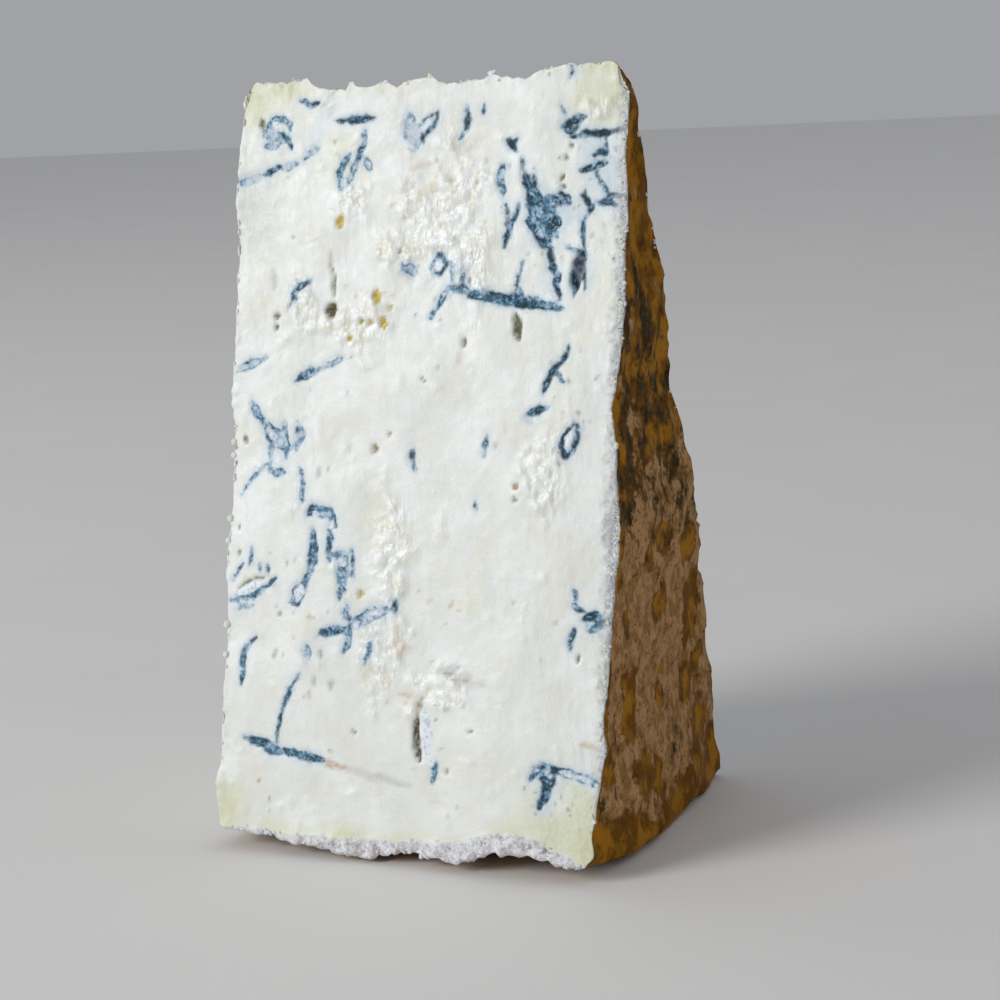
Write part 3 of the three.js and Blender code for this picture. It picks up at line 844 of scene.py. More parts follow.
TIP_SHARE = 0.30  # a stroke's ends are this share of its full width
TIP_POWER = 0.6
HOLE_TIP_SHARE = 0.12
HOLE_TIP_POWER = 0.9
BLUNT_LENGTH = 2  # a run shorter than this many widths keeps blunter ends
FIELD_FLOOR = -3.0
FAR = 1e9
NEAR = 6.0  # a mark matters this far away, mm
PLAIN_INK = 0.6
HALO_REACH = 1.1
HALO_STRENGTH = 0.4
WARP_U = (0.30, 2.4, 2.4, 131, 2)  # how far the marks wander
WARP_V = (0.30, 2.4, 2.4, 137, 2)
RAGGED_WAVES = [(0.22, 1.3, 1.5, 141)]
RAGGED_WIDTH = 1.6  # marks narrower than this are less ragged
VEIN_DENT = 0.16
VEIN_DENT_WIDTH = 2.2  # a vein wider than this is no deeper
VEIN_DENT_EDGE = (-0.6, 0.7)
SOFT_SHARE = 0.3  # a stain's edge is at least this share of its width
HOLE_EDGE = (-0.30, 0.15)
HOLE_BOWL_FROM = -0.35
HOLE_BOWL_WIDTH = 2.0


class Field:
    """What the marks do to a set of places (u, v) on one face, in millimetres."""

    def __init__(self, u, v):
        self.u = u + rough(WARP_U, u, v)
        self.v = v + rough(WARP_V, u, v)
        self.ragged = waves(RAGGED_WAVES, u, v)
        self.mould = np.full(u.shape, FIELD_FLOOR)
        self.ink = np.full(u.shape, PLAIN_INK)
        self.heart = np.full(u.shape, FIELD_FLOOR)
        self.halo = np.zeros(u.shape)
        self.dent = np.zeros(u.shape)
        self.stain = np.zeros(u.shape)
        self.tint = np.zeros(u.shape + (3,))
        self.tint[...] = TINTS["dove"]

    def _near(self, run):
        lows, highs = np.min(run, axis=0) - NEAR, np.max(run, axis=0) + NEAR
        inside = (self.u > lows[0]) & (self.u < highs[0]) & (self.v > lows[1]) & (self.v < highs[1])
        return np.nonzero(inside)[0]

    def _depth_in(self, run, width, tip=TIP_SHARE, power=TIP_POWER):
        at = self._near(run)
        d, along = distance_to_run(self.u[at], self.v[at], run)
        length = np.sum(np.hypot(*np.diff(np.array(run, float), axis=0).T))
        tip = tip + (1 - tip) * max(0.0, 1 - length / (BLUNT_LENGTH * width))
        share = tip + (1 - tip) * np.sin(math.pi * along) ** power
        return at, width / 2 * share - d + self.ragged[at] * min(1.0, width / RAGGED_WIDTH)

    def _paint(self, at, amount, colour):
        wins = amount > self.stain[at]
        self.tint[at] = np.where(wins[:, None], TINTS[colour], self.tint[at])
        self.stain[at] = np.maximum(self.stain[at], amount)

    def add_mould(self, width, ink, run, halo=0.4):
        at, inside = self._depth_in(run, width)
        wins = inside > self.mould[at]
        self.ink[at] = np.where(wins, ink, self.ink[at])
        self.mould[at] = np.maximum(self.mould[at], inside)
        self.halo[at] += halo * width * np.exp(-np.maximum(-inside, 0) / HALO_REACH) * HALO_STRENGTH
        sunk = VEIN_DENT * min(width, VEIN_DENT_WIDTH) * smooth(inside, *VEIN_DENT_EDGE)
        self.dent[at] = np.maximum(self.dent[at], sunk)

    def add_heart(self, width, run):
        at, inside = self._depth_in(run, width)
        self.heart[at] = np.maximum(self.heart[at], inside)

    def add_stain(self, width, strength, colour, run, soft=0.45):
        at, inside = self._depth_in(run, width)
        soft = max(soft, SOFT_SHARE * width)
        self._paint(at, strength * smooth(inside, -soft, soft), colour)

    def add_hole(self, width, depth, colour, run):
        at, inside = self._depth_in(run, width, tip=HOLE_TIP_SHARE, power=HOLE_TIP_POWER)
        self._paint(at, smooth(inside, *HOLE_EDGE), colour)
        bowl = smooth(inside, HOLE_BOWL_FROM, 0.5 * min(width, HOLE_BOWL_WIDTH))
        self.dent[at] = np.maximum(self.dent[at], depth * bowl)


NETWORK_HALO = 0.7
MARGIN_SPECK = (0.9, 0.85, "ink")
MARGIN_SPECK_SOFT = 0.3
SPECK_SIDEWAYS = 1.2  # a fine speck's tail, in pixels of the photo
SPECK_DOWN = (1, 5)
SPECK_WIDTHS = (0.4, 0.8)
SPECK_STRENGTHS = (0.25, 0.7)
SPECK_SOFT = 0.25


def front_field(u, v):
    field = Field(u, v)

    def run_of(pixels):
        return [pixel_on_front(*p) for p in pixels]

    for width, ink, pixels in NEEDLES_AND_TRACKS:
        field.add_mould(width, ink, run_of(pixels))
    for width, ink, pixels in NETWORKS:
        field.add_mould(width, ink, run_of(pixels), halo=NETWORK_HALO)
    for width, ink, heart, outline, middle in LENSES:
        field.add_mould(width, ink, run_of(outline))
        field.add_heart(heart, run_of(middle))
    for width, pixels in HEARTS:
        field.add_heart(width, run_of(pixels))
    for width, strength, colour, pixels in STAINS:
        field.add_stain(width, strength, colour, run_of(pixels))
    for width, depth, colour, pixels in HOLES:
        field.add_hole(width, depth, colour, run_of(pixels))
    for pixel in MARGIN_SPECKS:
        field.add_stain(*MARGIN_SPECK, run_of([pixel]), soft=MARGIN_SPECK_SOFT)
    draw = np.random.RandomState(SPECK_SEED)
    for low, high, count, colours in SPECK_ZONES:
        for n in range(count):
            px, py = draw.uniform(low, high)
            tail = (px + draw.normal(0, SPECK_SIDEWAYS), py + draw.uniform(*SPECK_DOWN))
            colour = colours[draw.randint(len(colours))]
            width, strength = draw.uniform(*SPECK_WIDTHS), draw.uniform(*SPECK_STRENGTHS)
            field.add_stain(width, strength, colour, run_of([(px, py), tail]), SPECK_SOFT)
    return field


HIDDEN_CLUSTERS = {BACK: 30, HALVED: 13}
HIDDEN_SEEDS = {BACK: 401, HALVED: 733}
HIDDEN_SPANS = {BACK: (6, 144), HALVED: (30, 144)}
CLUSTER_SIDEWAYS = 0.94  # how much of the face's half width the clusters use
CLUSTER_LEAN = 0.55
LYING_SHARE = 0.25  # this share of the clusters lies across the cut
BRANCHES = (1, 5)
BRANCH_STEPS = 3
BRANCH_LENGTHS = (2.0, 9.0)
BRANCH_WIDTHS = (0.9, 2.4)
BRANCH_INKS = (0.45, 0.9)
BRANCH_TURN = 0.5
BRANCH_BEND = 0.25
BRANCH_HALO = 0.6
BRANCH_SHIFT = (1.6, 2.4)
HEART_FROM_WIDTH = 1.8
HEART_WIDTH_SHARE = 0.5
HIDDEN_HOLE_SIDEWAYS = 0.9
HIDDEN_HOLE_SHIFT = 0.6
HIDDEN_HOLE_LENGTHS = (0.5, 3.0)
HIDDEN_HOLE_WIDTHS = (0.7, 1.9)
HIDDEN_HOLE_DEPTHS = (0.6, 2.0)
HIDDEN_HOLE_COLOURS = ["gold", "olive", "brown", "amber"]


def hidden_field(face, u, v, u_span):
    """Veins for a cut that the photo doesn't show, in the front's manner, from a seeded rule."""
    field = Field(u, v)
    draw = np.random.RandomState(HIDDEN_SEEDS[face])
    count, (v_low, v_high) = HIDDEN_CLUSTERS[face], HIDDEN_SPANS[face]
    for n in range(count):
        v0 = v_low + (v_high - v_low) * (n + draw.uniform(0, 1)) / count
        reach = u_span(v0)
        u0 = draw.uniform(-CLUSTER_SIDEWAYS, CLUSTER_SIDEWAYS) * reach
        lean = draw.normal(0.0, CLUSTER_LEAN) + (math.pi / 2 if draw.uniform() < LYING_SHARE else 0)
        for branch in range(draw.randint(*BRANCHES)):
            length = draw.uniform(*BRANCH_LENGTHS)
            turn = lean + draw.normal(0, BRANCH_TURN)
            spots = [(u0, v0)]
            for step in range(BRANCH_STEPS):
                turn += draw.normal(0, BRANCH_BEND)
                du = math.sin(turn) * length / BRANCH_STEPS
                dv = math.cos(turn) * length / BRANCH_STEPS
                spots.append((spots[-1][0] + du, spots[-1][1] + dv))
            width = draw.uniform(*BRANCH_WIDTHS)
            ink = draw.uniform(*BRANCH_INKS)
            field.add_mould(width, ink, spots, halo=BRANCH_HALO)
            if width > HEART_FROM_WIDTH:
                field.add_heart(width * HEART_WIDTH_SHARE, spots[1:3])
            u0 += draw.normal(0, BRANCH_SHIFT[0])
            v0 += draw.normal(0, BRANCH_SHIFT[1])
    for n in range(count):
        v0 = draw.uniform(v_low, v_high)
        u0 = draw.uniform(-HIDDEN_HOLE_SIDEWAYS, HIDDEN_HOLE_SIDEWAYS) * u_span(v0)
        tail = (u0 + draw.normal(0, HIDDEN_HOLE_SHIFT), v0 + draw.uniform(*HIDDEN_HOLE_LENGTHS))
        colour = HIDDEN_HOLE_COLOURS[draw.randint(len(HIDDEN_HOLE_COLOURS))]
        width = draw.uniform(*HIDDEN_HOLE_WIDTHS)
        field.add_hole(width, draw.uniform(*HIDDEN_HOLE_DEPTHS), colour, [(u0, v0), tail])
    return field


BLOB_HEIGHT = 1.6


def blob_field(u, v, blobs, to_face):
    """Over 1 inside the listed round patches, falling to 0 outside them."""
    total = np.zeros(u.shape)
    for pixel, half_u, half_v in blobs:
        mid_u, mid_v = to_face(*pixel)
        d = np.hypot((u - mid_u) / half_u, (v - mid_v) / half_v)
        total = np.maximum(total, BLOB_HEIGHT - d)
    return total


# ---- The wedge's mesh ------------------------------------------------------------------------


def outward_normals(points, quads):
    """Area-weighted vertex normals of the net."""
    across = points[quads[:, 2]] - points[quads[:, 0]]
    other = points[quads[:, 3]] - points[quads[:, 1]]
    face = np.cross(across, other)
    total = np.zeros_like(points)
    for corner in range(4):
        np.add.at(total, quads[:, corner], face)
    length = np.linalg.norm(total, axis=1, keepdims=True)
    return total / np.maximum(length, TINY)


MIDDLE = np.array([0.0, 0.0, WHEEL_RADIUS * 0.4])


def turned_outwards(points, quads):
    """Each quad or triangle (its last corner repeated), wound to face away from the middle."""
    corners = points[quads]
    face = np.cross(corners[:, 2] - corners[:, 0], corners[:, 3] - corners[:, 1])
    inwards = np.einsum("ij,ij->i", face, corners.mean(axis=1) - MIDDLE) < 0
    quads = quads.copy()
    quads[inwards] = quads[inwards][:, ::-1]
    return quads


def build_wedge():
    faces, owners = [], []
    for owner, part in net_of_cells():
        if part.shape[1] == 3:
            part = np.concatenate([part, part[:, 2:3]], axis=1)
        faces.append(part)
        owners.append(np.full(len(part), owner))
    faces, owners = np.concatenate(faces), np.concatenate(owners)
    codes, faces = np.unique(faces, return_inverse=True)
    faces = faces.reshape(-1, 4)
    k = codes % (CELLS_DOWN + 1)
    j = codes // (CELLS_DOWN + 1) % (CELLS_THROUGH + 1)
    i = codes // (CELLS_DOWN + 1) // (CELLS_THROUGH + 1)

    s, t, w = i / CELLS_ACROSS, j / CELLS_THROUGH, k / CELLS_DOWN
    x0 = (2 * crowd(s, CROWD_ACROSS) - 1) * HALF_WIDTH
    a = 2 * crowd(t, CROWD_THROUGH) - 1
    r0 = crowd(w, CROWD_DOWN) * WHEEL_RADIUS

    points = slice_points(x0, r0, a)
    faces = turned_outwards(points, faces)
    normals = outward_normals(points, faces)
    on = {
        FRONT: j == 0,
        BACK: j == CELLS_THROUGH,
        RIND: i == CELLS_ACROSS,
        HALVED: i == 0,
        POINT: k == 0,
        HEEL: k == CELLS_DOWN,
    }
    looks = surface_looks(points, r0, on)
    points = points + normals * surface_relief(points, r0, on, looks)[:, None]
    points[:, 2] = np.maximum(points[:, 2], FLAT_SPOT_RISE)
    return kept_in_box(points - BOX_MIDDLE), faces, owners, looks, (s, t, w)


BOX_MARGIN = 0.02  # the visible mesh stays this far inside the CAD's box, mm


def kept_in_box(points):
    """Points of the part's own frame, in millimetres, pressed into the CAD's box."""
    low = np.array(cad_low) / MM + (BOX_MARGIN, BOX_MARGIN, 0)
    return np.clip(points, low, np.array(cad_high) / MM - BOX_MARGIN)


PLAIN_VERTEX_INK = 0.5
EDGE_HALO = 0.5  # the blue bloom along the front's left edge
EDGE_HALO_WIDTH = (1.6, 0.2)
MOST_HALO = 1.4
TORN_NOISE = (0.45, 4, 4, 93, 2)
TORN_HIDDEN_WAVES = [(1.4, 13, 15, 91)]
TORN_HIDDEN_LESS = 0.1
TORN_EDGE = (0.1, 1.15)
CREAM_PLAIN = 0.25
CREAM_EDGE = (0.0, 1.5)
CREAM_NOISE = (0.14, 9, 12, 125, 3)
CRUST_THICKNESS = 3.0
CRUST_WAVES = [(0.5, 6, 6, 95), (0.4, 1.8, 2, 97)]
GOLDEN_HEEL = 0.95  # the rind is worn to gold along the heel
GOLDEN_HEEL_REACH = (13, 3)
GOLDEN_TOP = 0.88  # and on its upper part
GOLDEN_TOP_FADE = (66, 100)
GOLDEN_NOISE = (0.35, 1, 8, 99, 3)
SOOT_SOFT = 0.9
SOOT_PLAIN = 0.02
AGED = 0.46  # a band of the rind is darker with age
AGED_FROM = (25, 50)
AGED_TO = (84, 104)


def surface_looks(points, r0, on):
    """What the materials read at each vertex."""
    x, y = points[:, 0], points[:, 1]
    r = np.hypot(y, WHEEL_RADIUS - points[:, 2])
    front = np.nonzero(on[FRONT])[0]
    back = np.nonzero(on[BACK])[0]
    halved = np.nonzero(on[HALVED] & ~on[FRONT] & ~on[BACK])[0]
    side = np.nonzero(on[RIND])[0]
    cut = on[FRONT] | on[BACK] | on[HALVED] | on[POINT]

    looks = {name: np.zeros(len(x)) for name in ("halo", "dent", "stain")}
    looks["mould"] = np.full(len(x), FIELD_FLOOR)
    looks["heart"] = np.full(len(x), FIELD_FLOOR)
    looks["ink"] = np.full(len(x), PLAIN_VERTEX_INK)
    looks["tint"] = np.zeros((len(x), 3))
    fields = {
        BACK: (back, hidden_field(BACK, x[back], r[back], lambda v: HALF_WIDTH)),
        HALVED: (halved, hidden_field(HALVED, y[halved], r[halved], half_depth)),
        FRONT: (front, front_field(x[front], r[front])),
    }
    for where, field in fields.values():
        for name in ("halo", "dent", "stain", "mould", "heart", "ink", "tint"):
            looks[name][where] = getattr(field, name)
    edge = on[FRONT] * smooth(-x, HALF_WIDTH - EDGE_HALO_WIDTH[0], HALF_WIDTH - EDGE_HALO_WIDTH[1])
    looks["halo"] = np.clip(looks["halo"] + EDGE_HALO * edge, 0, MOST_HALO)

    torn = np.full(len(x), -1.0)
    torn[front] = blob_field(x[front], r[front], TORN, pixel_on_front)
    hidden = np.nonzero((on[BACK] | on[HALVED]) & ~on[FRONT])[0]
    torn[hidden] = waves(TORN_HIDDEN_WAVES, x[hidden] + y[hidden], r[hidden]) - TORN_HIDDEN_LESS
    looks["torn"] = smooth(torn + rough(TORN_NOISE, x, r), *TORN_EDGE) * cut

    cream = np.full(len(x), CREAM_PLAIN)
    cream[front] = smooth(blob_field(x[front], r[front], YELLOWED, pixel_on_front), *CREAM_EDGE)
    looks["cream"] = np.clip(cream + rough(CREAM_NOISE, x + y, r), 0, 1) * cut

    # The rind's section shows as a crust along the heel and as a thin line along the rinded face.
    wander = waves(CRUST_WAVES, x, y)
    crust_edge = WHEEL_RADIUS - CRUST_THICKNESS + wander
    crust_x, crust_r = profile(CRUST_EDGE)
    crust_edge[front] = np.interp(x[front], crust_x, crust_r) + 0.5 * wander[front]
    looks["crust"] = np.where(cut, r - crust_edge, CRUST_THICKNESS)
    looks["margin"] = HALF_WIDTH - x

    golden = np.zeros(len(x))
    golden[side] = blob_field(y[side], r[side], GOLDEN, pixel_on_rind)
    rim = GOLDEN_HEEL * smooth(r, *(WHEEL_RADIUS - reach for reach in GOLDEN_HEEL_REACH))
    rim = np.maximum(rim, GOLDEN_TOP * (1 - smooth(r, *GOLDEN_TOP_FADE)))
    golden = np.maximum(golden, rim)
    looks["golden"] = golden + rough(GOLDEN_NOISE, x / 8 + y / 6, r)

    sooty = Field(y[side], r[side])
    for width, strength, pixels in SOOT:
        run = [pixel_on_rind(*p) for p in pixels]
        sooty.add_stain(width, strength, "ink", run, soft=SOOT_SOFT)
    soot = np.zeros(len(x))
    soot[side] = sooty.stain
    aged = smooth(r, *AGED_FROM) * (1 - smooth(r, *AGED_TO))
    looks["soot"] = np.maximum(soot, AGED * aged) + SOOT_PLAIN
    return looks


def half_depth(r):
    return r * math.sin(HALF_ANGLE)


# Fine relief, as (height, sizes, seed), and the heights of its kinds, all in mm.
COARSE_GRAINS = (2.3, 101)
FINE_GRAINS = (1.2, 103)
TORN_COARSE, TORN_FINE, PLAIN_FINE = 0.30, 0.16, 0.04
DRAG_WAVES = [(1, 0.9, 16, 105), (0.5, 2.4, 22, 107)]
DRAG_HEIGHT = 0.02
PLATES = (0.10, 6, 8, 109, 3)
CRAG = (0.6, 1.9, 1.6, 111, 2)
CRAG_WAVES = [(1, 3, 2, 113)]
CRAG_RIDGE, CRAG_LESS = 0.5, 0.1
CRUMBLY_EDGE = (-0.3, 0.5)
THICK_ENOUGH = (1.0, 12.0)  # the point edge is too thin for relief on both sides
HALVED_EDGE = (2.0, -0.5)
HALVED_EDGE_WAVES = [(0.25, 1.3, 2, 115), (0.2, 3.1, 4, 116)]
RIND_EDGE = (2.2, 0.4)
RIND_EDGE_WAVES = [(0.30, 1.2, 1.2, 120)]
RIND_EDGE_RISE = 0.12
STREAKS = (0.32, 2.6, 3.6, 117, 2)
STREAK_LEAN = 0.6
PITS = (1, 1.8, 2.2, 118, 2)
PIT_HEIGHT, PIT_EDGE, PITS_WORN = -0.5, (0.4, 1.0), 0.6
WORN_EDGE = (0.6, 1.0)
WORN_DEPTH = 0.15
CALM_EARLIER = 4
POINT_ROUGH_WAVES = [(0.18, 1.1, 1.5, 119)]
POINT_ROUGH_REACH = 1.5


def grains(across, r, size, seed):
    """Ridged noise, with grains of this size."""
    return 2 * np.abs(noise(across / size, r / size, seed)) - 0.5


def surface_relief(points, r0, on, looks):
    """Fine relief along the normal, in millimetres, over the CAD's shape."""
    x, y = points[:, 0], points[:, 1]
    r = np.hypot(y, WHEEL_RADIUS - points[:, 2])
    across = x + 0.8 * y
    small = grains(across, r, *FINE_GRAINS)
    torn_out = looks["torn"] * (TORN_COARSE * grains(across, r, *COARSE_GRAINS) + TORN_FINE * small)
    cut_out = DRAG_HEIGHT * waves(DRAG_WAVES, across, r) + rough(PLATES, across, r)
    cut_out = cut_out + PLAIN_FINE * small + torn_out - looks["dent"]
    crumbly = smooth(looks["crust"], *CRUMBLY_EDGE)
    crag = rough(CRAG, across, r) + CRAG_RIDGE * np.abs(waves(CRAG_WAVES, across, r))
    cut_out = cut_out * (1 - crumbly) + crumbly * (crag - CRAG_LESS)
    thick_enough = smooth(r0, *THICK_ENOUGH)
    near_halved = smooth(-x, *(HALF_WIDTH - reach for reach in HALVED_EDGE)) * thick_enough
    cut_out = cut_out + near_halved * waves(HALVED_EDGE_WAVES, r, y)
    near_rind = smooth(x, *(HALF_WIDTH - reach for reach in RIND_EDGE)) * (on[FRONT] | on[BACK])
    cut_out = cut_out + near_rind * thick_enough * (waves(RIND_EDGE_WAVES, r, x) + RIND_EDGE_RISE)

    pits = PIT_HEIGHT * smooth(rough(PITS, y + x, r), *PIT_EDGE)
    worn = smooth(looks["golden"], *WORN_EDGE)
    rind_out = rough(STREAKS, y + x * STREAK_LEAN, r) + pits * (1 - PITS_WORN * worn)
    rind_out = rind_out * thick_enough - WORN_DEPTH * worn
    calm = smooth(np.abs(y), HEEL_CALM_FROM - CALM_EARLIER, HEEL_CALM_TO)
    rind_out = np.where(on[HEEL], rind_out * calm, rind_out)
    on_rind = (on[RIND] | on[HEEL]) & ~on[FRONT] & ~on[BACK]
    at_point = waves(POINT_ROUGH_WAVES, x, y) * (1 - smooth(r0, 0, POINT_ROUGH_REACH))
    return np.where(on_rind, rind_out, cut_out) + at_point


def mesh_object(name, points, faces, *materials):
    """An object whose faces may repeat their last corner, which makes them triangles."""
    mesh = bpy.data.meshes.new(name)
    mesh.from_pydata((points * MM).tolist(), [], [tuple(dict.fromkeys(f)) for f in faces.tolist()])
    for material in materials:
        mesh.materials.append(material)
    mesh.polygons.foreach_set("use_smooth", [True] * len(mesh.polygons))
    thing = bpy.data.objects.new(name, mesh)
    bpy.context.collection.objects.link(thing)
    return thing


def add_map(mesh, owners, places):
    """A texture map with one rectangle for each face of the slice."""
    s, t, w = places
    flat = {
        FRONT: (s, 1 - w),
        BACK: (s, 1 - w),
        RIND: (t, 1 - w),
        HALVED: (t, 1 - w),
        POINT: (s, t),
        HEEL: (s, t),
    }
    corner_vertex = np.zeros(len(mesh.loops), int)
    mesh.loops.foreach_get("vertex_index", corner_vertex)
    corners = np.zeros(len(mesh.polygons), int)
    mesh.polygons.foreach_get("loop_total", corners)
    corner_owner = np.repeat(owners, corners)
    uv = np.zeros((len(corner_vertex), 2))
    for owner, (left, bottom, right, top) in MAP_PLACES.items():
        at = corner_owner == owner
        u, v = flat[owner]
        uv[at, 0] = left + (right - left) * u[corner_vertex[at]]
        uv[at, 1] = bottom + (top - bottom) * v[corner_vertex[at]]
    layer = mesh.uv_layers.new(name="OFBake")
    layer.data.foreach_set("uv", uv.ravel())


def add_looks(mesh, looks):
    for name, values in looks.items():
        if values.ndim == 2:
            layer = mesh.attributes.new(name, "FLOAT_VECTOR", "POINT")
            layer.data.foreach_set("vector", values.astype(np.float32).ravel())
        else:
            layer = mesh.attributes.new(name, "FLOAT", "POINT")
            layer.data.foreach_set("value", values.astype(np.float32))


# ---- Materials -------------------------------------------------------------------------------
# A noise is given by its size in mm, detail, roughness, stretch and offset. A ramp is given by the
# noise's level or the distance in mm where a tone starts and where it is full, then its strengths.

SUBSURFACE_RADIUS = (1.0, 0.78, 0.50)
SUBSURFACE_SCALE_MM = 1.4
OFFSET_TURNS = (1, 0.7, 1.3)  # so that an offset moves a noise along no axis


class Nodes:
    """Short ways to make and join shader nodes."""

    def __init__(self, name):
        self.material = bpy.data.materials.new(name)
        self.material.use_nodes = True
        self.tree = self.material.node_tree
        self.tree.nodes.clear()
        self.place = self.node("ShaderNodeTexCoord").outputs["Object"]

    def node(self, kind, **settings):
        made = self.tree.nodes.new(kind)
        for key, value in settings.items():
            setattr(made, key, value)
        return made

    def put(self, socket, value):
        if isinstance(value, bpy.types.NodeSocket):
            self.tree.links.new(value, socket)
        else:
            socket.default_value = value

    def math(self, kind, *values, clamp=False):
        made = self.node("ShaderNodeMath", operation=kind, use_clamp=clamp)
        for socket, value in zip(made.inputs, values):
            self.put(socket, value)
        return made.outputs[0]

    def times(self, first, second, clamp=False):
        return self.math("MULTIPLY", first, second, clamp=clamp)

    def line(self, value, slope, base, clamp=False):
        return self.math("MULTIPLY_ADD", value, slope, base, clamp=clamp)

    def sway(self, noise, amount, base):
        """base, moved up and down by a noise, which is 0.5 on average."""
        return self.line(self.math("SUBTRACT", noise, 0.5), amount, base)

    def ramp(self, value, low, high, out_low=0.0, out_high=1.0):
        """From out_low, where value is low, to out_high, where it is high."""
        made = self.node("ShaderNodeMapRange", interpolation_type="SMOOTHSTEP")
        for socket, number in zip(made.inputs, (value, low, high, out_low, out_high)):
            self.put(socket, number)
        return made.outputs[0]

    def mix(self, share, first, second):
        made = self.node("ShaderNodeMix", data_type="RGBA")
        self.put(made.inputs["Factor"], share)
        for socket, value in ((made.inputs[6], first), (made.inputs[7], second)):
            if isinstance(value, tuple) and len(value) == 3:
                value = (*value, 1.0)
            self.put(socket, value)
        return made.outputs[2]

    def look(self, name, output="Fac"):
        return self.node("ShaderNodeAttribute", attribute_name=name).outputs[output]

    def scaled_place(self, size_mm, stretch, offset):
        mapping = self.node("ShaderNodeMapping")
        self.put(mapping.inputs["Vector"], self.place)
        self.put(mapping.inputs["Scale"], tuple(1.0 / (size_mm * MM * s) for s in stretch))
        self.put(mapping.inputs["Location"], tuple(offset * turn for turn in OFFSET_TURNS))
        return mapping.outputs[0]

    def noise(self, size_mm, detail=2.0, rough=0.5, stretch=(1, 1, 1), offset=0.0, output="Fac"):
        """Noise from about 0.25 to 0.75, with features of about size_mm."""
        made = self.node("ShaderNodeTexNoise")
        self.put(made.inputs["Vector"], self.scaled_place(size_mm, stretch, offset))
        self.put(made.inputs["Scale"], 1.0)
        self.put(made.inputs["Detail"], detail)
        self.put(made.inputs["Roughness"], rough)
        return made.outputs[output]

    def cell_walls(self, size_mm, thick, bends, bend, offset):
        """1 on the walls of bubble-like cells of about size_mm, bent by a noise, 0 inside them."""
        bent = self.node("ShaderNodeVectorMath", operation="MULTIPLY_ADD")
        self.put(bent.inputs[0], bends)
        bent.inputs[1].default_value = (bend, bend, bend)
        self.put(bent.inputs[2], self.scaled_place(size_mm, (1, 1, 1), offset))
        cells = self.node("ShaderNodeTexVoronoi", feature="DISTANCE_TO_EDGE")
        self.put(cells.inputs["Vector"], bent.outputs[0])
        self.put(cells.inputs["Scale"], 1.0)
        return self.ramp(cells.outputs["Distance"], 0.0, thick, 1.0, 0.0)

    def tones(self, share, stops):
        """A colour from a list of (share, colour) stops."""
        made = self.node("ShaderNodeValToRGB")
        self.put(made.inputs[0], share)
        for n, (at, colour) in enumerate(stops):
            stop = made.color_ramp.elements[n] if n < 2 else made.color_ramp.elements.new(at)
            stop.position = at
            stop.color = (*colour, 1.0)
        return made.outputs[0]

    def finish(self, colour, rough, height, subsurface, specular):
        """The surface's shader: height is in millimetres."""
        bump = self.node("ShaderNodeBump")
        bump.inputs["Strength"].default_value = 1.0
        bump.inputs["Distance"].default_value = MM
        self.put(bump.inputs["Height"], height)
        shader = self.node("ShaderNodeBsdfPrincipled")
        self.put(shader.inputs["Base Color"], colour)
        self.put(shader.inputs["Roughness"], rough)
        self.put(shader.inputs["Normal"], bump.outputs[0])
        shader.inputs["Specular IOR Level"].default_value = specular
        shader.inputs["Subsurface Weight"].default_value = subsurface
        shader.inputs["Subsurface Radius"].default_value = SUBSURFACE_RADIUS
        shader.inputs["Subsurface Scale"].default_value = SUBSURFACE_SCALE_MM * MM
        surface = self.node("ShaderNodeOutputMaterial")
        self.put(surface.inputs["Surface"], shader.outputs[0])


PASTE_IVORY = (0.800, 0.825, 0.795)
PASTE_YELLOW = (0.735, 0.755, 0.57)
PASTE_SHADE = (0.72, 0.66, 0.43)
# A whiter tone of the paste, also the painted highlight on the torn grains' crests; then the painted
# shade of their hollows, partly the paste's own yellowing.
PASTE_WHITE_AND_HIGHLIGHT = (0.90, 0.92, 0.91)
PASTE_HOLLOW_SHADE = (0.78, 0.73, 0.55)
PALE_BLUE = (0.55, 0.67, 0.77)
HEART_WHITE = (0.80, 0.85, 0.91)
HEART_SHADE = (0.44, 0.54, 0.63)
MOULD_TONES = [
    (0.00, (0.63, 0.70, 0.76)),
    (0.28, (0.34, 0.48, 0.60)),
    (0.54, (0.115, 0.255, 0.385)),
    (0.78, (0.030, 0.105, 0.170)),
    (1.00, (0.008, 0.033, 0.055)),
]
RIND_TAN = (0.34, 0.177, 0.058)
RIND_PINK = (0.55, 0.313, 0.140)
RIND_GOLD = (0.44, 0.190, 0.008)
RIND_AMBER = (0.19, 0.078, 0.004)
RIND_BROWN = (0.095, 0.047, 0.010)
RIND_SOOT = (0.030, 0.025, 0.010)
RIND_DUST = (0.60, 0.42, 0.24)
CRUST_WHITE = (0.80, 0.81, 0.84)
CRUST_GREY = (0.50, 0.49, 0.53)
CRUST_PINK = (0.50, 0.38, 0.30)
CRUST_BROWN = (0.22, 0.12, 0.055)
# The rind's white line along the cut's side, in tones darkened as painted shade.
MARGIN_SHADED_WHITE = (0.57, 0.575, 0.57)
MARGIN_SHADED_GREY = (0.33, 0.35, 0.37)


# How a mark's depth (mm, negative outside it) covers the paste, and what its tone is made of.
VEIN_COVER = (-0.46, 0.36)
VEIN_OUTLINE_AT = 0.14
VEIN_OUTLINE_WIDTH = 0.42
VEIN_FRINGE = (-1.4, 0.1)
VEIN_DUST = (-1.7, -0.2)
INK_TONE = (0.88, -0.24)
INK_THREADS = (0.55, 0.25)
INK_OUTLINE = (-0.20, 0.30)
INK_SPECKS = (0.9, 0.4)
INK_FRINGE = (0.45, 0.30)
PATCHY_TONE = 1.3
WALLS_MEAN = 0.4
WALLS_SPREAD = 0.10
HALO_COVER = 0.42
HEART_FRAY = 0.9
HEART_COVER = (-0.25, 0.35)
MARGIN_WANDER = 5.0
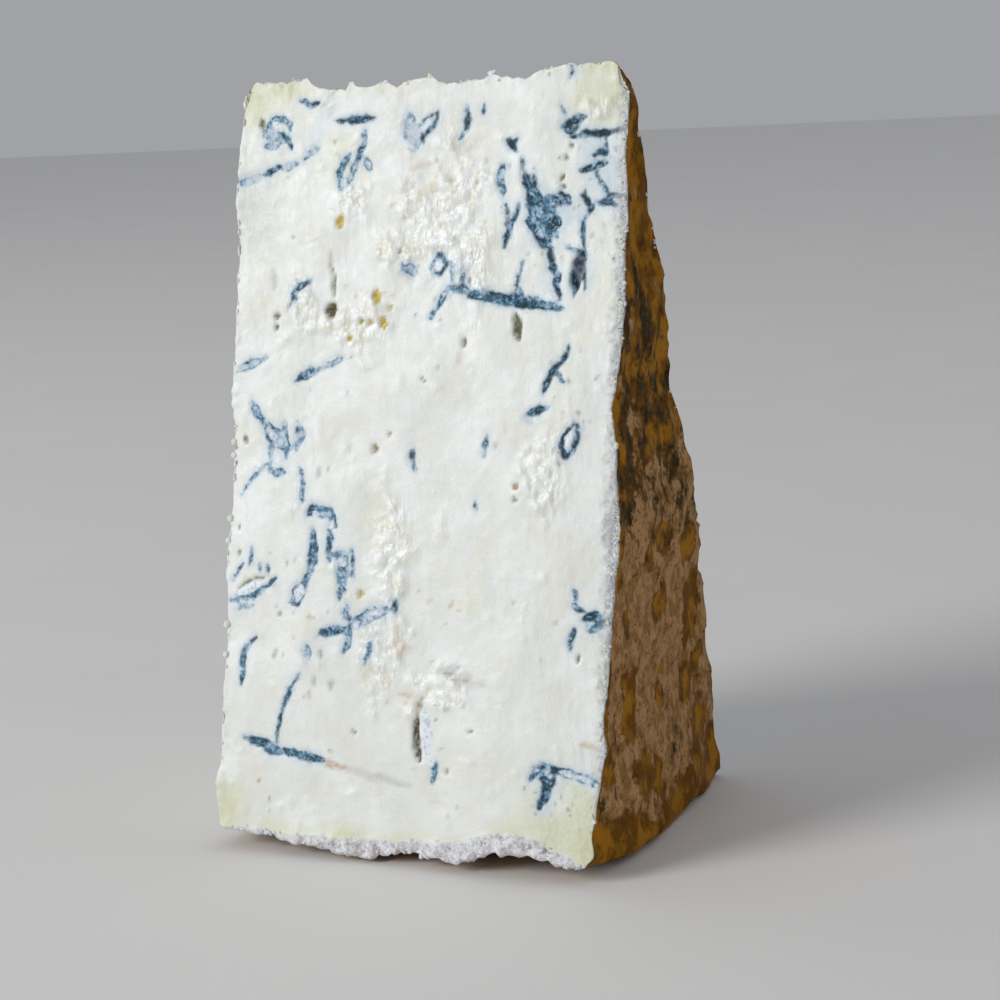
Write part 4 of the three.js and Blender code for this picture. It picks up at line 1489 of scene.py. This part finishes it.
# The white line's fade in mm from the rind, widened to carry painted shade.
MARGIN_LINE_AND_SHADE = (3.2, 0.6)
MARGIN_SPECK_LINE = (1.8, 0.7)
CRUST_FRAY = 2.4
CRUST_WANDER = 3.0
CRUST_COVER = (-0.4, 0.5)
PASTE_GLOSS = (0.38, 0.50)  # roughness
TORN_GLOSS = -0.12
RUGGED_DULL = 0.25
# Heights of the bump, in mm.
FINE_BUMP, RUGGED_BUMP, DRAG_BUMP, FLAKE_BUMP = 0.07, 0.22, 0.04, 0.50


def paste_material():
    """Ivory paste, with the yellowing, halos, stains and veins that the vertices carry; torn grains get
    painted highlight and shade, the rind's white line painted shade.
    """
    n = Nodes("blue_cheese_paste")
    fray = n.math("SUBTRACT", n.noise(1.7, 2, 0.45, offset=1.0), 0.5)
    thread = n.noise(1.5, 2, offset=5.0)
    grit = n.noise(0.8, 2, offset=7.0)
    patch = n.noise(2.6, 3, 0.6, offset=9.0)
    broad = n.noise(9.0, 2, offset=11.0)
    flake = n.noise(1.7, 2, 0.55, stretch=(1, 1, 1.7), offset=17.0)
    torn = n.look("torn")
    ink = n.look("ink")

    colour = n.mix(n.look("cream"), PASTE_IVORY, PASTE_YELLOW)
    colour = n.mix(n.ramp(broad, 0.50, 0.68, 0.0, 0.16), colour, PASTE_SHADE)
    colour = n.mix(n.ramp(broad, 0.52, 0.36, 0.0, 0.45), colour, PASTE_WHITE_AND_HIGHLIGHT)
    colour = n.mix(n.ramp(n.noise(1.3, 2, offset=15.0), 0.64, 0.74, 0.0, 0.22), colour, PASTE_SHADE)
    # Painted highlight and shade on the torn grains: whiter on the crests of the noise that also lifts
    # the bump, darker and warmer in its hollows.
    hollow_shade = n.times(torn, n.ramp(flake, 0.48, 0.34, 0.0, 0.50))
    colour = n.mix(hollow_shade, colour, PASTE_HOLLOW_SHADE)
    crest_highlight = n.times(torn, n.ramp(flake, 0.46, 0.60, 0.0, 0.8))
    colour = n.mix(crest_highlight, colour, PASTE_WHITE_AND_HIGHLIGHT)

    blue = n.times(n.look("halo"), n.ramp(patch, 0.30, 0.62, 0.15, 1.0))
    colour = n.mix(n.times(blue, HALO_COVER, clamp=True), colour, PALE_BLUE)
    ragged = n.ramp(grit, 0.35, 0.60, 0.75, 1.1)
    stain = n.times(n.look("stain"), ragged, clamp=True)
    colour = n.mix(stain, colour, n.look("tint", "Color"))

    bends = n.noise(2.6, 2, 0.6, offset=5.0, output="Color")
    wide_cells = n.cell_walls(3.0, 0.24, bends, 1.1, 3.0)
    walls = n.math("MAXIMUM", wide_cells, n.cell_walls(1.9, 0.22, bends, 1.3, 33.0))
    walls = n.times(walls, n.ramp(thread, 0.34, 0.56, 0.25, 1.0))
    depth = n.line(fray, 1.0, n.look("mould"))
    depth = n.line(n.math("SUBTRACT", walls, WALLS_MEAN), WALLS_SPREAD, depth)
    inside = n.ramp(depth, *VEIN_COVER)
    off_outline = n.math("ABSOLUTE", n.math("SUBTRACT", depth, VEIN_OUTLINE_AT))
    outline = n.ramp(off_outline, 0.0, VEIN_OUTLINE_WIDTH, 1.0, 0.0)
    dark = n.line(ink, *INK_TONE)
    dark = n.line(walls, n.line(ink, *INK_THREADS), dark)
    outline = n.times(outline, n.ramp(patch, 0.42, 0.58, 0.1, 1.2))
    rim = n.times(outline, n.line(ink, *INK_OUTLINE))
    dark = n.math("ADD", rim, dark)
    dark = n.sway(patch, PATCHY_TONE, dark)
    speckled = n.times(n.math("SUBTRACT", grit, 0.5), n.line(ink, *INK_SPECKS))
    dark = n.math("ADD", speckled, dark, clamp=True)
    mould = n.tones(dark, MOULD_TONES)
    fringe = n.times(n.ramp(depth, *VEIN_FRINGE), n.line(ink, *INK_FRINGE))
    colour = n.mix(fringe, colour, PALE_BLUE)
    dust = n.times(n.ramp(grit, 0.66, 0.72), n.ramp(depth, *VEIN_DUST, 0.0, 0.6))
    dust = n.times(dust, ink)
    colour = n.mix(dust, colour, MOULD_TONES[3][1])
    colour = n.mix(inside, colour, mould)

    crystal = n.mix(n.ramp(grit, 0.34, 0.54, 0.2, 1.0), HEART_SHADE, HEART_WHITE)
    heart = n.line(fray, HEART_FRAY, n.look("heart"))
    colour = n.mix(n.ramp(heart, *HEART_COVER), colour, crystal)

    # The rind's white line along the side, widened and darkened as painted shade where the cut's edge
    # turns from the light, and its crumbly section along the heel.
    line = n.sway(patch, MARGIN_WANDER, n.look("margin"))
    shaded_pith = n.mix(n.ramp(grit, 0.40, 0.60), MARGIN_SHADED_GREY, MARGIN_SHADED_WHITE)
    colour = n.mix(n.ramp(line, *MARGIN_LINE_AND_SHADE, 0.0, 0.85), colour, shaded_pith)
    speck = n.times(n.ramp(grit, 0.60, 0.68), n.ramp(n.look("margin"), *MARGIN_SPECK_LINE))
    colour = n.mix(n.times(speck, 0.8), colour, MOULD_TONES[3][1])
    bran = n.noise(1.0, 3, 0.65, offset=13.0)
    crusty = n.mix(n.ramp(bran, 0.44, 0.60, 0.0, 0.8), CRUST_WHITE, CRUST_GREY)
    stale = n.line(n.look("crust"), 0.03, patch)
    crusty = n.mix(n.ramp(stale, 0.58, 0.72, 0.0, 0.65), crusty, CRUST_PINK)
    crusty = n.mix(n.ramp(bran, 0.64, 0.74, 0.0, 0.8), crusty, CRUST_BROWN)
    bitten = n.line(fray, CRUST_FRAY, n.look("crust"))
    bitten = n.sway(patch, CRUST_WANDER, bitten)
    section = n.ramp(bitten, *CRUST_COVER)
    colour = n.mix(section, colour, crusty)

    gloss = n.line(torn, TORN_GLOSS, n.ramp(patch, 0.35, 0.65, *PASTE_GLOSS))
    rugged = n.math("MAXIMUM", inside, section)
    rough = n.line(rugged, RUGGED_DULL, gloss, clamp=True)

    fine = n.noise(0.5, 2, 0.65, offset=43.0)
    drag = n.noise(1.1, 1, stretch=(1, 1, 9), offset=47.0)
    # Bump works its height out three times a sample, so the height is kept to few nodes.
    crumbly = n.ramp(n.look("crust"), *CRUST_COVER)
    rugged = n.math("MAXIMUM", n.ramp(n.look("mould"), -0.4, 0.4), crumbly)
    height = n.times(fine, n.line(rugged, RUGGED_BUMP, FINE_BUMP))
    height = n.line(drag, DRAG_BUMP, height)
    height = n.line(n.times(flake, torn), FLAKE_BUMP, height)
    n.finish(colour, rough, height, subsurface=0.30, specular=0.5)
    return n.material


GOLD_TONE = (-0.16, 0.15)  # the more golden, the paler the skin
BALD_WANDER = 1.2
BALD_COVER = (0.42, 0.70)
BRIM_AT = 0.56
BRIM_WIDTH = 0.24
SOOT_MOTTLE, SOOT_STREAK, SOOT_PIT = 2.0, 1.4, 0.9
SOOT_COVER = (0.30, 0.95)
DUST_ON_SKIN = (-0.42, 0.50)
RIND_ROUGHNESS, BALD_GLOSS = 0.80, -0.22
STREAK_BUMP, RIND_FINE_BUMP, PIT_BUMP, BALD_BUMP = 0.8, 0.45, -0.4, -0.15


def rind_material():
    """Golden washed skin under a pinkish tan bloom, with dark streaks, pits and spots of mould."""
    n = Nodes("blue_cheese_rind")
    streak = n.noise(2.8, 3, 0.58, stretch=(1, 1, 1.4), offset=21.0)
    mottle = n.noise(5.0, 3, 0.60, stretch=(1, 1, 1.3), offset=23.0)
    pit = n.noise(0.9, 3, 0.6, offset=25.0)
    golden = n.look("golden")

    tanned = n.line(golden, GOLD_TONE[0], n.math("ADD", mottle, GOLD_TONE[1]))
    skin = n.mix(n.ramp(tanned, 0.40, 0.58), RIND_GOLD, RIND_AMBER)
    skin = n.mix(n.ramp(streak, 0.54, 0.68, 0.0, 0.5), skin, RIND_BROWN)
    bloom = n.mix(n.ramp(streak, 0.40, 0.60), RIND_PINK, RIND_TAN)
    bloom = n.mix(n.ramp(mottle, 0.54, 0.68, 0.0, 0.55), bloom, RIND_BROWN)
    bloom = n.mix(n.ramp(pit, 0.58, 0.66, 0.0, 0.75), bloom, RIND_BROWN)
    wobble = n.sway(streak, BALD_WANDER, golden)
    wobble = n.sway(mottle, BALD_WANDER, wobble)
    bald = n.ramp(wobble, *BALD_COVER)
    colour = n.mix(bald, bloom, skin)
    off_brim = n.math("ABSOLUTE", n.math("SUBTRACT", wobble, BRIM_AT))
    brim = n.ramp(off_brim, 0.0, BRIM_WIDTH, 0.30, 0.0)
    colour = n.mix(brim, colour, RIND_BROWN)

    soot = n.sway(mottle, SOOT_MOTTLE, n.look("soot"))
    soot = n.sway(streak, SOOT_STREAK, soot)
    soot = n.sway(pit, SOOT_PIT, soot)
    colour = n.mix(n.ramp(soot, *SOOT_COVER, 0.0, 0.92), colour, RIND_SOOT)
    dust = n.times(n.ramp(pit, 0.44, 0.32), n.line(bald, *DUST_ON_SKIN))
    colour = n.mix(dust, colour, RIND_DUST)

    rough = n.line(bald, BALD_GLOSS, RIND_ROUGHNESS)
    fine = n.noise(0.7, 3, 0.7, offset=51.0)
    height = n.line(streak, STREAK_BUMP, n.times(fine, RIND_FINE_BUMP))
    height = n.line(pit, PIT_BUMP, height)
    height = n.line(bald, BALD_BUMP, height)
    n.finish(colour, rough, height, subsurface=0.0, specular=0.07)
    return n.material


def crumb_material(name, first, second, speck):
    n = Nodes(name)
    grain = n.noise(0.6, 2, offset=63.0)
    colour = n.mix(n.ramp(n.noise(2.0, 3, offset=61.0), 0.44, 0.60), first, second)
    colour = n.mix(n.ramp(grain, 0.58, 0.70), colour, speck)
    rough = n.ramp(grain, 0.3, 0.7, 0.42, 0.70)
    height = n.times(n.noise(0.5, 3, 0.6, offset=65.0), 0.3)
    n.finish(colour, rough, height, subsurface=0.0, specular=0.4)
    return n.material


# ---- Crumbs, flakes and beads ----------------------------------------------------------------

# Flakes of paste torn up along the point edge: (x, half width, height), as in the CAD.
POINT_FLAKES = [
    (-29.7, 2.0, 1.9),
    (-18.1, 1.1, 2.2),
    (-11.2, 1.5, 1.6),
    (-0.6, 1.9, 1.6),
    (7.5, 1.4, 1.0),
    (12.8, 1.8, 1.7),
    (25.6, 1.6, 1.0),
    (31.5, 2.0, 1.1),
]
EDGE_BEADS = [71.5, 74.2, 87.0, 91.5, 108.5, 114.5]
BEAD_RADIUS = 0.85
PASTE_SEED = 1207
CRUST_SEED = 2411
POINT_CRUMBS = 40
LEFT_CRUMBS = 60
RIGHT_CRUMBS = 110
CRUST_CRUMBS = 330
# Ranges of half sizes in mm, and how uneven, leaning and pinched each kind of lump is.
FLAKE_SIDES = (-0.4, 0.5)
FLAKE_WIDTH, FLAKE_THICK, FLAKE_HEIGHTS = 0.55, 0.35, (0.45, 0.75)
FLAKE_SHAPE = {"rough_share": 0.35, "pinch": 0.75}
POINT_CRUMB_SIZES = [(0.3, 0.8), (0.2, 0.35), (0.2, 0.45)]
POINT_CRUMB_SHAPE = {"rough_share": 0.35, "pinch": 0.5}
LEFT_CRUMB_SIZES = [(0.18, 0.4), (0.2, 0.4), (0.25, 0.9)]
RIGHT_CRUMB_SIZES = (0.16, 0.42)
CRUST_CRUMB_SIZES = (0.14, 0.42)
BIG_CRUMB_EVERY, BIG_CRUMB = 6, 2.0
BACK_CRUMB_EVERY = 4
BEAD_ROUGH, CRUMB_ROUGH, CRUST_CRUMB_ROUGH = 0.10, 0.3, 0.55
FLAKE_LEAN, POINT_CRUMB_LEAN, CRUST_CRUMB_LEAN = 0.35, 0.4, 0.6
# Where they sit: spans of x as shares of the half width, and of r in mm.
POINT_CRUMB_SPAN = (-0.96, 0.96)
CRUST_CRUMB_SPAN = (-0.95, 0.93)
LEFT_SPAN = (2, 147)
RIGHT_SPAN = (4, 147)
BACK_SPAN = (8, 90)
THINNEST_CRUST = 0.4
LUMP_NOISE = (1.4, 1.1)
PINCH_FROM, PINCH_TO = -0.6, 1.0
TOP_ROOM = 1.25  # heights of a lump kept free under the top of the box
# Each lump's own noise: its kind's step from one lump to the next, and its start.
LUMP_SEEDS = {
    "flake": (3.1, 0),
    "point": (5.3, 40),
    "bead": (7.7, 90),
    "left": (2.9, 130),
    "right": (4.1, 300),
    "crust": (1.7, 11),
}


def ball_shape(fineness):
    bm = bmesh.new()
    bmesh.ops.create_icosphere(bm, subdivisions=fineness, radius=1.0)
    points = np.array([v.co[:] for v in bm.verts])
    tris = np.array([[v.index for v in f.verts] for f in bm.faces])
    bm.free()
    return points, tris


def own_seed(kind, n):
    step, start = LUMP_SEEDS[kind]
    return step * n + start


def drawn(draw, ranges):
    return tuple(draw.uniform(*span) for span in ranges)


def lump(shape, middle, half, seed, rough_share, turn=0.0, pinch=0.0):
    """One uneven lump, as points: half is its three half sizes, and pinch narrows its top."""
    points = shape.copy()
    wide, tall = LUMP_NOISE
    bumps = layered(points[:, 0] * wide + seed, points[:, 1] * wide + points[:, 2] * tall, seed, 2)
    points = points * (1 + rough_share * bumps)[:, None]
    points[:, :2] *= (1 - pinch * smooth(points[:, 2], PINCH_FROM, PINCH_TO))[:, None]
    points = points * np.array(half)
    c, s = math.cos(turn), math.sin(turn)
    points = points @ np.array([[c, 0, -s], [0, 1, 0], [s, 0, c]])
    return points + middle


def joined(name, lumps, tris, material):
    points = kept_in_box(np.concatenate(lumps) - BOX_MIDDLE)
    faces = np.concatenate([tris + n * len(lumps[0]) for n in range(len(lumps))])
    return mesh_object(name, points, faces, material)


def place_on(x, r, a):
    return slice_points(np.array([float(x)]), np.array([float(r)]), np.array([float(a)]))[0]


def under_top(foot, height):
    """The foot of a lump, lowered where the lump would stand out of the CAD's box."""
    top = cad_high[2] / MM + BOX_MIDDLE[2]
    return np.array([foot[0], foot[1], min(foot[2], top - TOP_ROOM * height)])


def paste_crumbs(material):
    shape, tris = ball_shape(3)
    draw = np.random.RandomState(PASTE_SEED)
    lumps = []
    for n, (x, half, height) in enumerate(POINT_FLAKES):
        for side in FLAKE_SIDES:
            foot = place_on(x + side * half, 0, draw.uniform(-0.6, 0.6))
            size = (half * FLAKE_WIDTH, FLAKE_THICK, height * draw.uniform(*FLAKE_HEIGHTS))
            lean = draw.normal(0, FLAKE_LEAN)
            foot = under_top(foot, size[2])
            lumps.append(lump(shape, foot, size, own_seed("flake", n) + side, turn=lean, **FLAKE_SHAPE))
    for n in range(POINT_CRUMBS):
        x = draw.uniform(*POINT_CRUMB_SPAN) * HALF_WIDTH
        foot = place_on(x, draw.uniform(0, 0.8), draw.uniform(-1, 0))
        size = drawn(draw, POINT_CRUMB_SIZES)
        foot = under_top(foot, size[2])
        lean = draw.normal(0, POINT_CRUMB_LEAN)
        lumps.append(lump(shape, foot, size, own_seed("point", n), turn=lean, **POINT_CRUMB_SHAPE))
    for n, r in enumerate(EDGE_BEADS):
        spot = place_on(-HALF_WIDTH, r, -1) + (-0.15, 0.35, 0)
        size = BEAD_RADIUS * draw.uniform(0.8, 1.05)
        lumps.append(lump(shape, spot, (size, size, size), own_seed("bead", n), BEAD_ROUGH))
    for n in range(LEFT_CRUMBS):
        r = draw.uniform(*LEFT_SPAN)
        spot = place_on(-HALF_WIDTH, r, -1) + (0.2, draw.uniform(0, 0.5), 0)
        size = drawn(draw, LEFT_CRUMB_SIZES)
        lumps.append(lump(shape, spot, size, own_seed("left", n), CRUMB_ROUGH))
    for n in range(RIGHT_CRUMBS):
        back = n % BACK_CRUMB_EVERY == 0
        r = draw.uniform(*(BACK_SPAN if back else RIGHT_SPAN))
        spot = place_on(HALF_WIDTH - draw.uniform(0, 1.1), r, 1 if back else -1)
        size = draw.uniform(*RIGHT_CRUMB_SIZES) * np.array([1.0, 0.8, draw.uniform(0.8, 1.6)])
        lumps.append(lump(shape, spot, size, own_seed("right", n), CRUMB_ROUGH))
    return joined("paste_crumbs", lumps, tris, material)


def crust_crumbs(material):
    shape, tris = ball_shape(2)
    draw = np.random.RandomState(CRUST_SEED)
    crust_x, crust_r = profile(CRUST_EDGE)
    lumps = []
    for n in range(CRUST_CRUMBS):
        x = draw.uniform(*CRUST_CRUMB_SPAN) * HALF_WIDTH
        thick = max(WHEEL_RADIUS - np.interp(x, crust_x, crust_r), THINNEST_CRUST)
        spot = place_on(x, WHEEL_RADIUS - draw.uniform(0, 1) * thick, -1)
        size = draw.uniform(*CRUST_CRUMB_SIZES) * (BIG_CRUMB if n % BIG_CRUMB_EVERY == 0 else 1.0)
        spot += (0, 0.45 * size, 0)
        half = (size * draw.uniform(0.9, 2.0), size * 0.7, size * draw.uniform(0.5, 0.9))
        lean = draw.normal(0, CRUST_CRUMB_LEAN)
        lumps.append(lump(shape, spot, half, own_seed("crust", n), CRUST_CRUMB_ROUGH, lean))
    return joined("crust_crumbs", lumps, tris, material)


# ---- Camera, floor and light -----------------------------------------------------------------


CLIP = (0.01, 20.0)


def make_camera():
    data = bpy.data.cameras.new("photo_camera")
    data.sensor_width = SENSOR_WIDTH
    data.lens = FOCAL_PIXELS / PHOTO_SIDE * SENSOR_WIDTH
    data.clip_start, data.clip_end = CLIP
    camera = bpy.data.objects.new("photo_camera", data)
    axes = Matrix([CAMERA_RIGHT, CAMERA_UP, -CAMERA_FORWARD]).transposed()
    place = Matrix.Translation(Vector((CAMERA_PLACE - BOX_MIDDLE) * MM))
    camera.matrix_world = place @ axes.to_4x4()
    bpy.context.collection.objects.link(camera)
    bpy.context.scene.camera = camera


FLOOR_HALF = 3.0
FLOOR_COLOURS = ((0.80, 0.79, 0.77), (0.84, 0.83, 0.81))
FLOOR_GRAIN_MM = 60
FLOOR_ROUGHNESS = 0.85


def make_floor():
    mesh = bpy.data.meshes.new("floor")
    corners = [(-1, -1), (1, -1), (1, 1), (-1, 1)]
    mesh.from_pydata([(x * FLOOR_HALF, y * FLOOR_HALF, 0.0) for x, y in corners], [], [(0, 1, 2, 3)])
    n = Nodes("floor_paper")
    shader = n.node("ShaderNodeBsdfPrincipled")
    n.put(shader.inputs["Base Color"], n.mix(n.noise(FLOOR_GRAIN_MM, 2), *FLOOR_COLOURS))
    shader.inputs["Roughness"].default_value = FLOOR_ROUGHNESS
    surface = n.node("ShaderNodeOutputMaterial")
    n.put(surface.inputs["Surface"], shader.outputs[0])
    mesh.materials.append(n.material)
    floor = bpy.data.objects.new("floor", mesh)
    bpy.context.collection.objects.link(floor)


LIGHTS_AIM = (0.0, 0.0, 0.08)
WORLD_COLOUR = (0.93, 0.95, 1.0, 1.0)
WORLD_STRENGTH = 0.38
# (name, place, size in metres, power in watts, colour)
LIGHTS = [
    ("window", (-1.25, -1.50, 0.95), 1.0, 26.5, (1.0, 0.995, 0.98)),
    ("fill", (0.9, -0.7, 0.55), 1.2, 0.35, (1.0, 0.96, 0.90)),
]


def make_light(name, place, size, power, colour):
    data = bpy.data.lights.new(name, "AREA")
    data.shape = "DISK"
    data.size = size
    data.energy = power
    data.color = colour
    lamp = bpy.data.objects.new(name, data)
    lamp.location = place
    lamp.rotation_mode = "QUATERNION"
    lamp.rotation_quaternion = (Vector(LIGHTS_AIM) - Vector(place)).to_track_quat("-Z", "Y")
    bpy.context.collection.objects.link(lamp)


def make_lights():
    world = bpy.data.worlds.new("studio")
    world.use_nodes = True
    sky = world.node_tree.nodes["Background"]
    sky.inputs["Color"].default_value = WORLD_COLOUR
    sky.inputs["Strength"].default_value = WORLD_STRENGTH
    bpy.context.scene.world = world
    for light in LIGHTS:
        make_light(*light)
    view = bpy.context.scene.view_settings
    view.view_transform = "Standard"
    view.look = "None"


# ---- Putting it together ---------------------------------------------------------------------

RINDED_END = 3.0  # the rind wraps this far over the end of the point edge, mm

make_camera()
make_floor()
make_lights()

wedge_points, wedge_faces, wedge_owners, wedge_looks, wedge_places = build_wedge()
wedge_materials = (paste_material(), rind_material())
wedge = mesh_object("cheese_wedge_surface", wedge_points, wedge_faces, *wedge_materials)
at_rinded_end = wedge_points[wedge_faces, 0].mean(axis=1) > HALF_WIDTH - RINDED_END
skin = np.isin(wedge_owners, (RIND, HEEL)) | ((wedge_owners == POINT) & at_rinded_end)
wedge.data.polygons.foreach_set("material_index", skin.astype(np.int32))
add_looks(wedge.data, wedge_looks)
add_map(wedge.data, wedge_owners, wedge_places)

paste_bits = paste_crumbs(crumb_material("paste_crumb", PASTE_IVORY, PASTE_YELLOW, PASTE_IVORY))
crust_bits = crust_crumbs(crumb_material("crust_crumb", CRUST_WHITE, CRUST_GREY, CRUST_WHITE))

for piece in (wedge, paste_bits, crust_bits):
    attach(piece, "root")
    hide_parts("cheese_wedge")
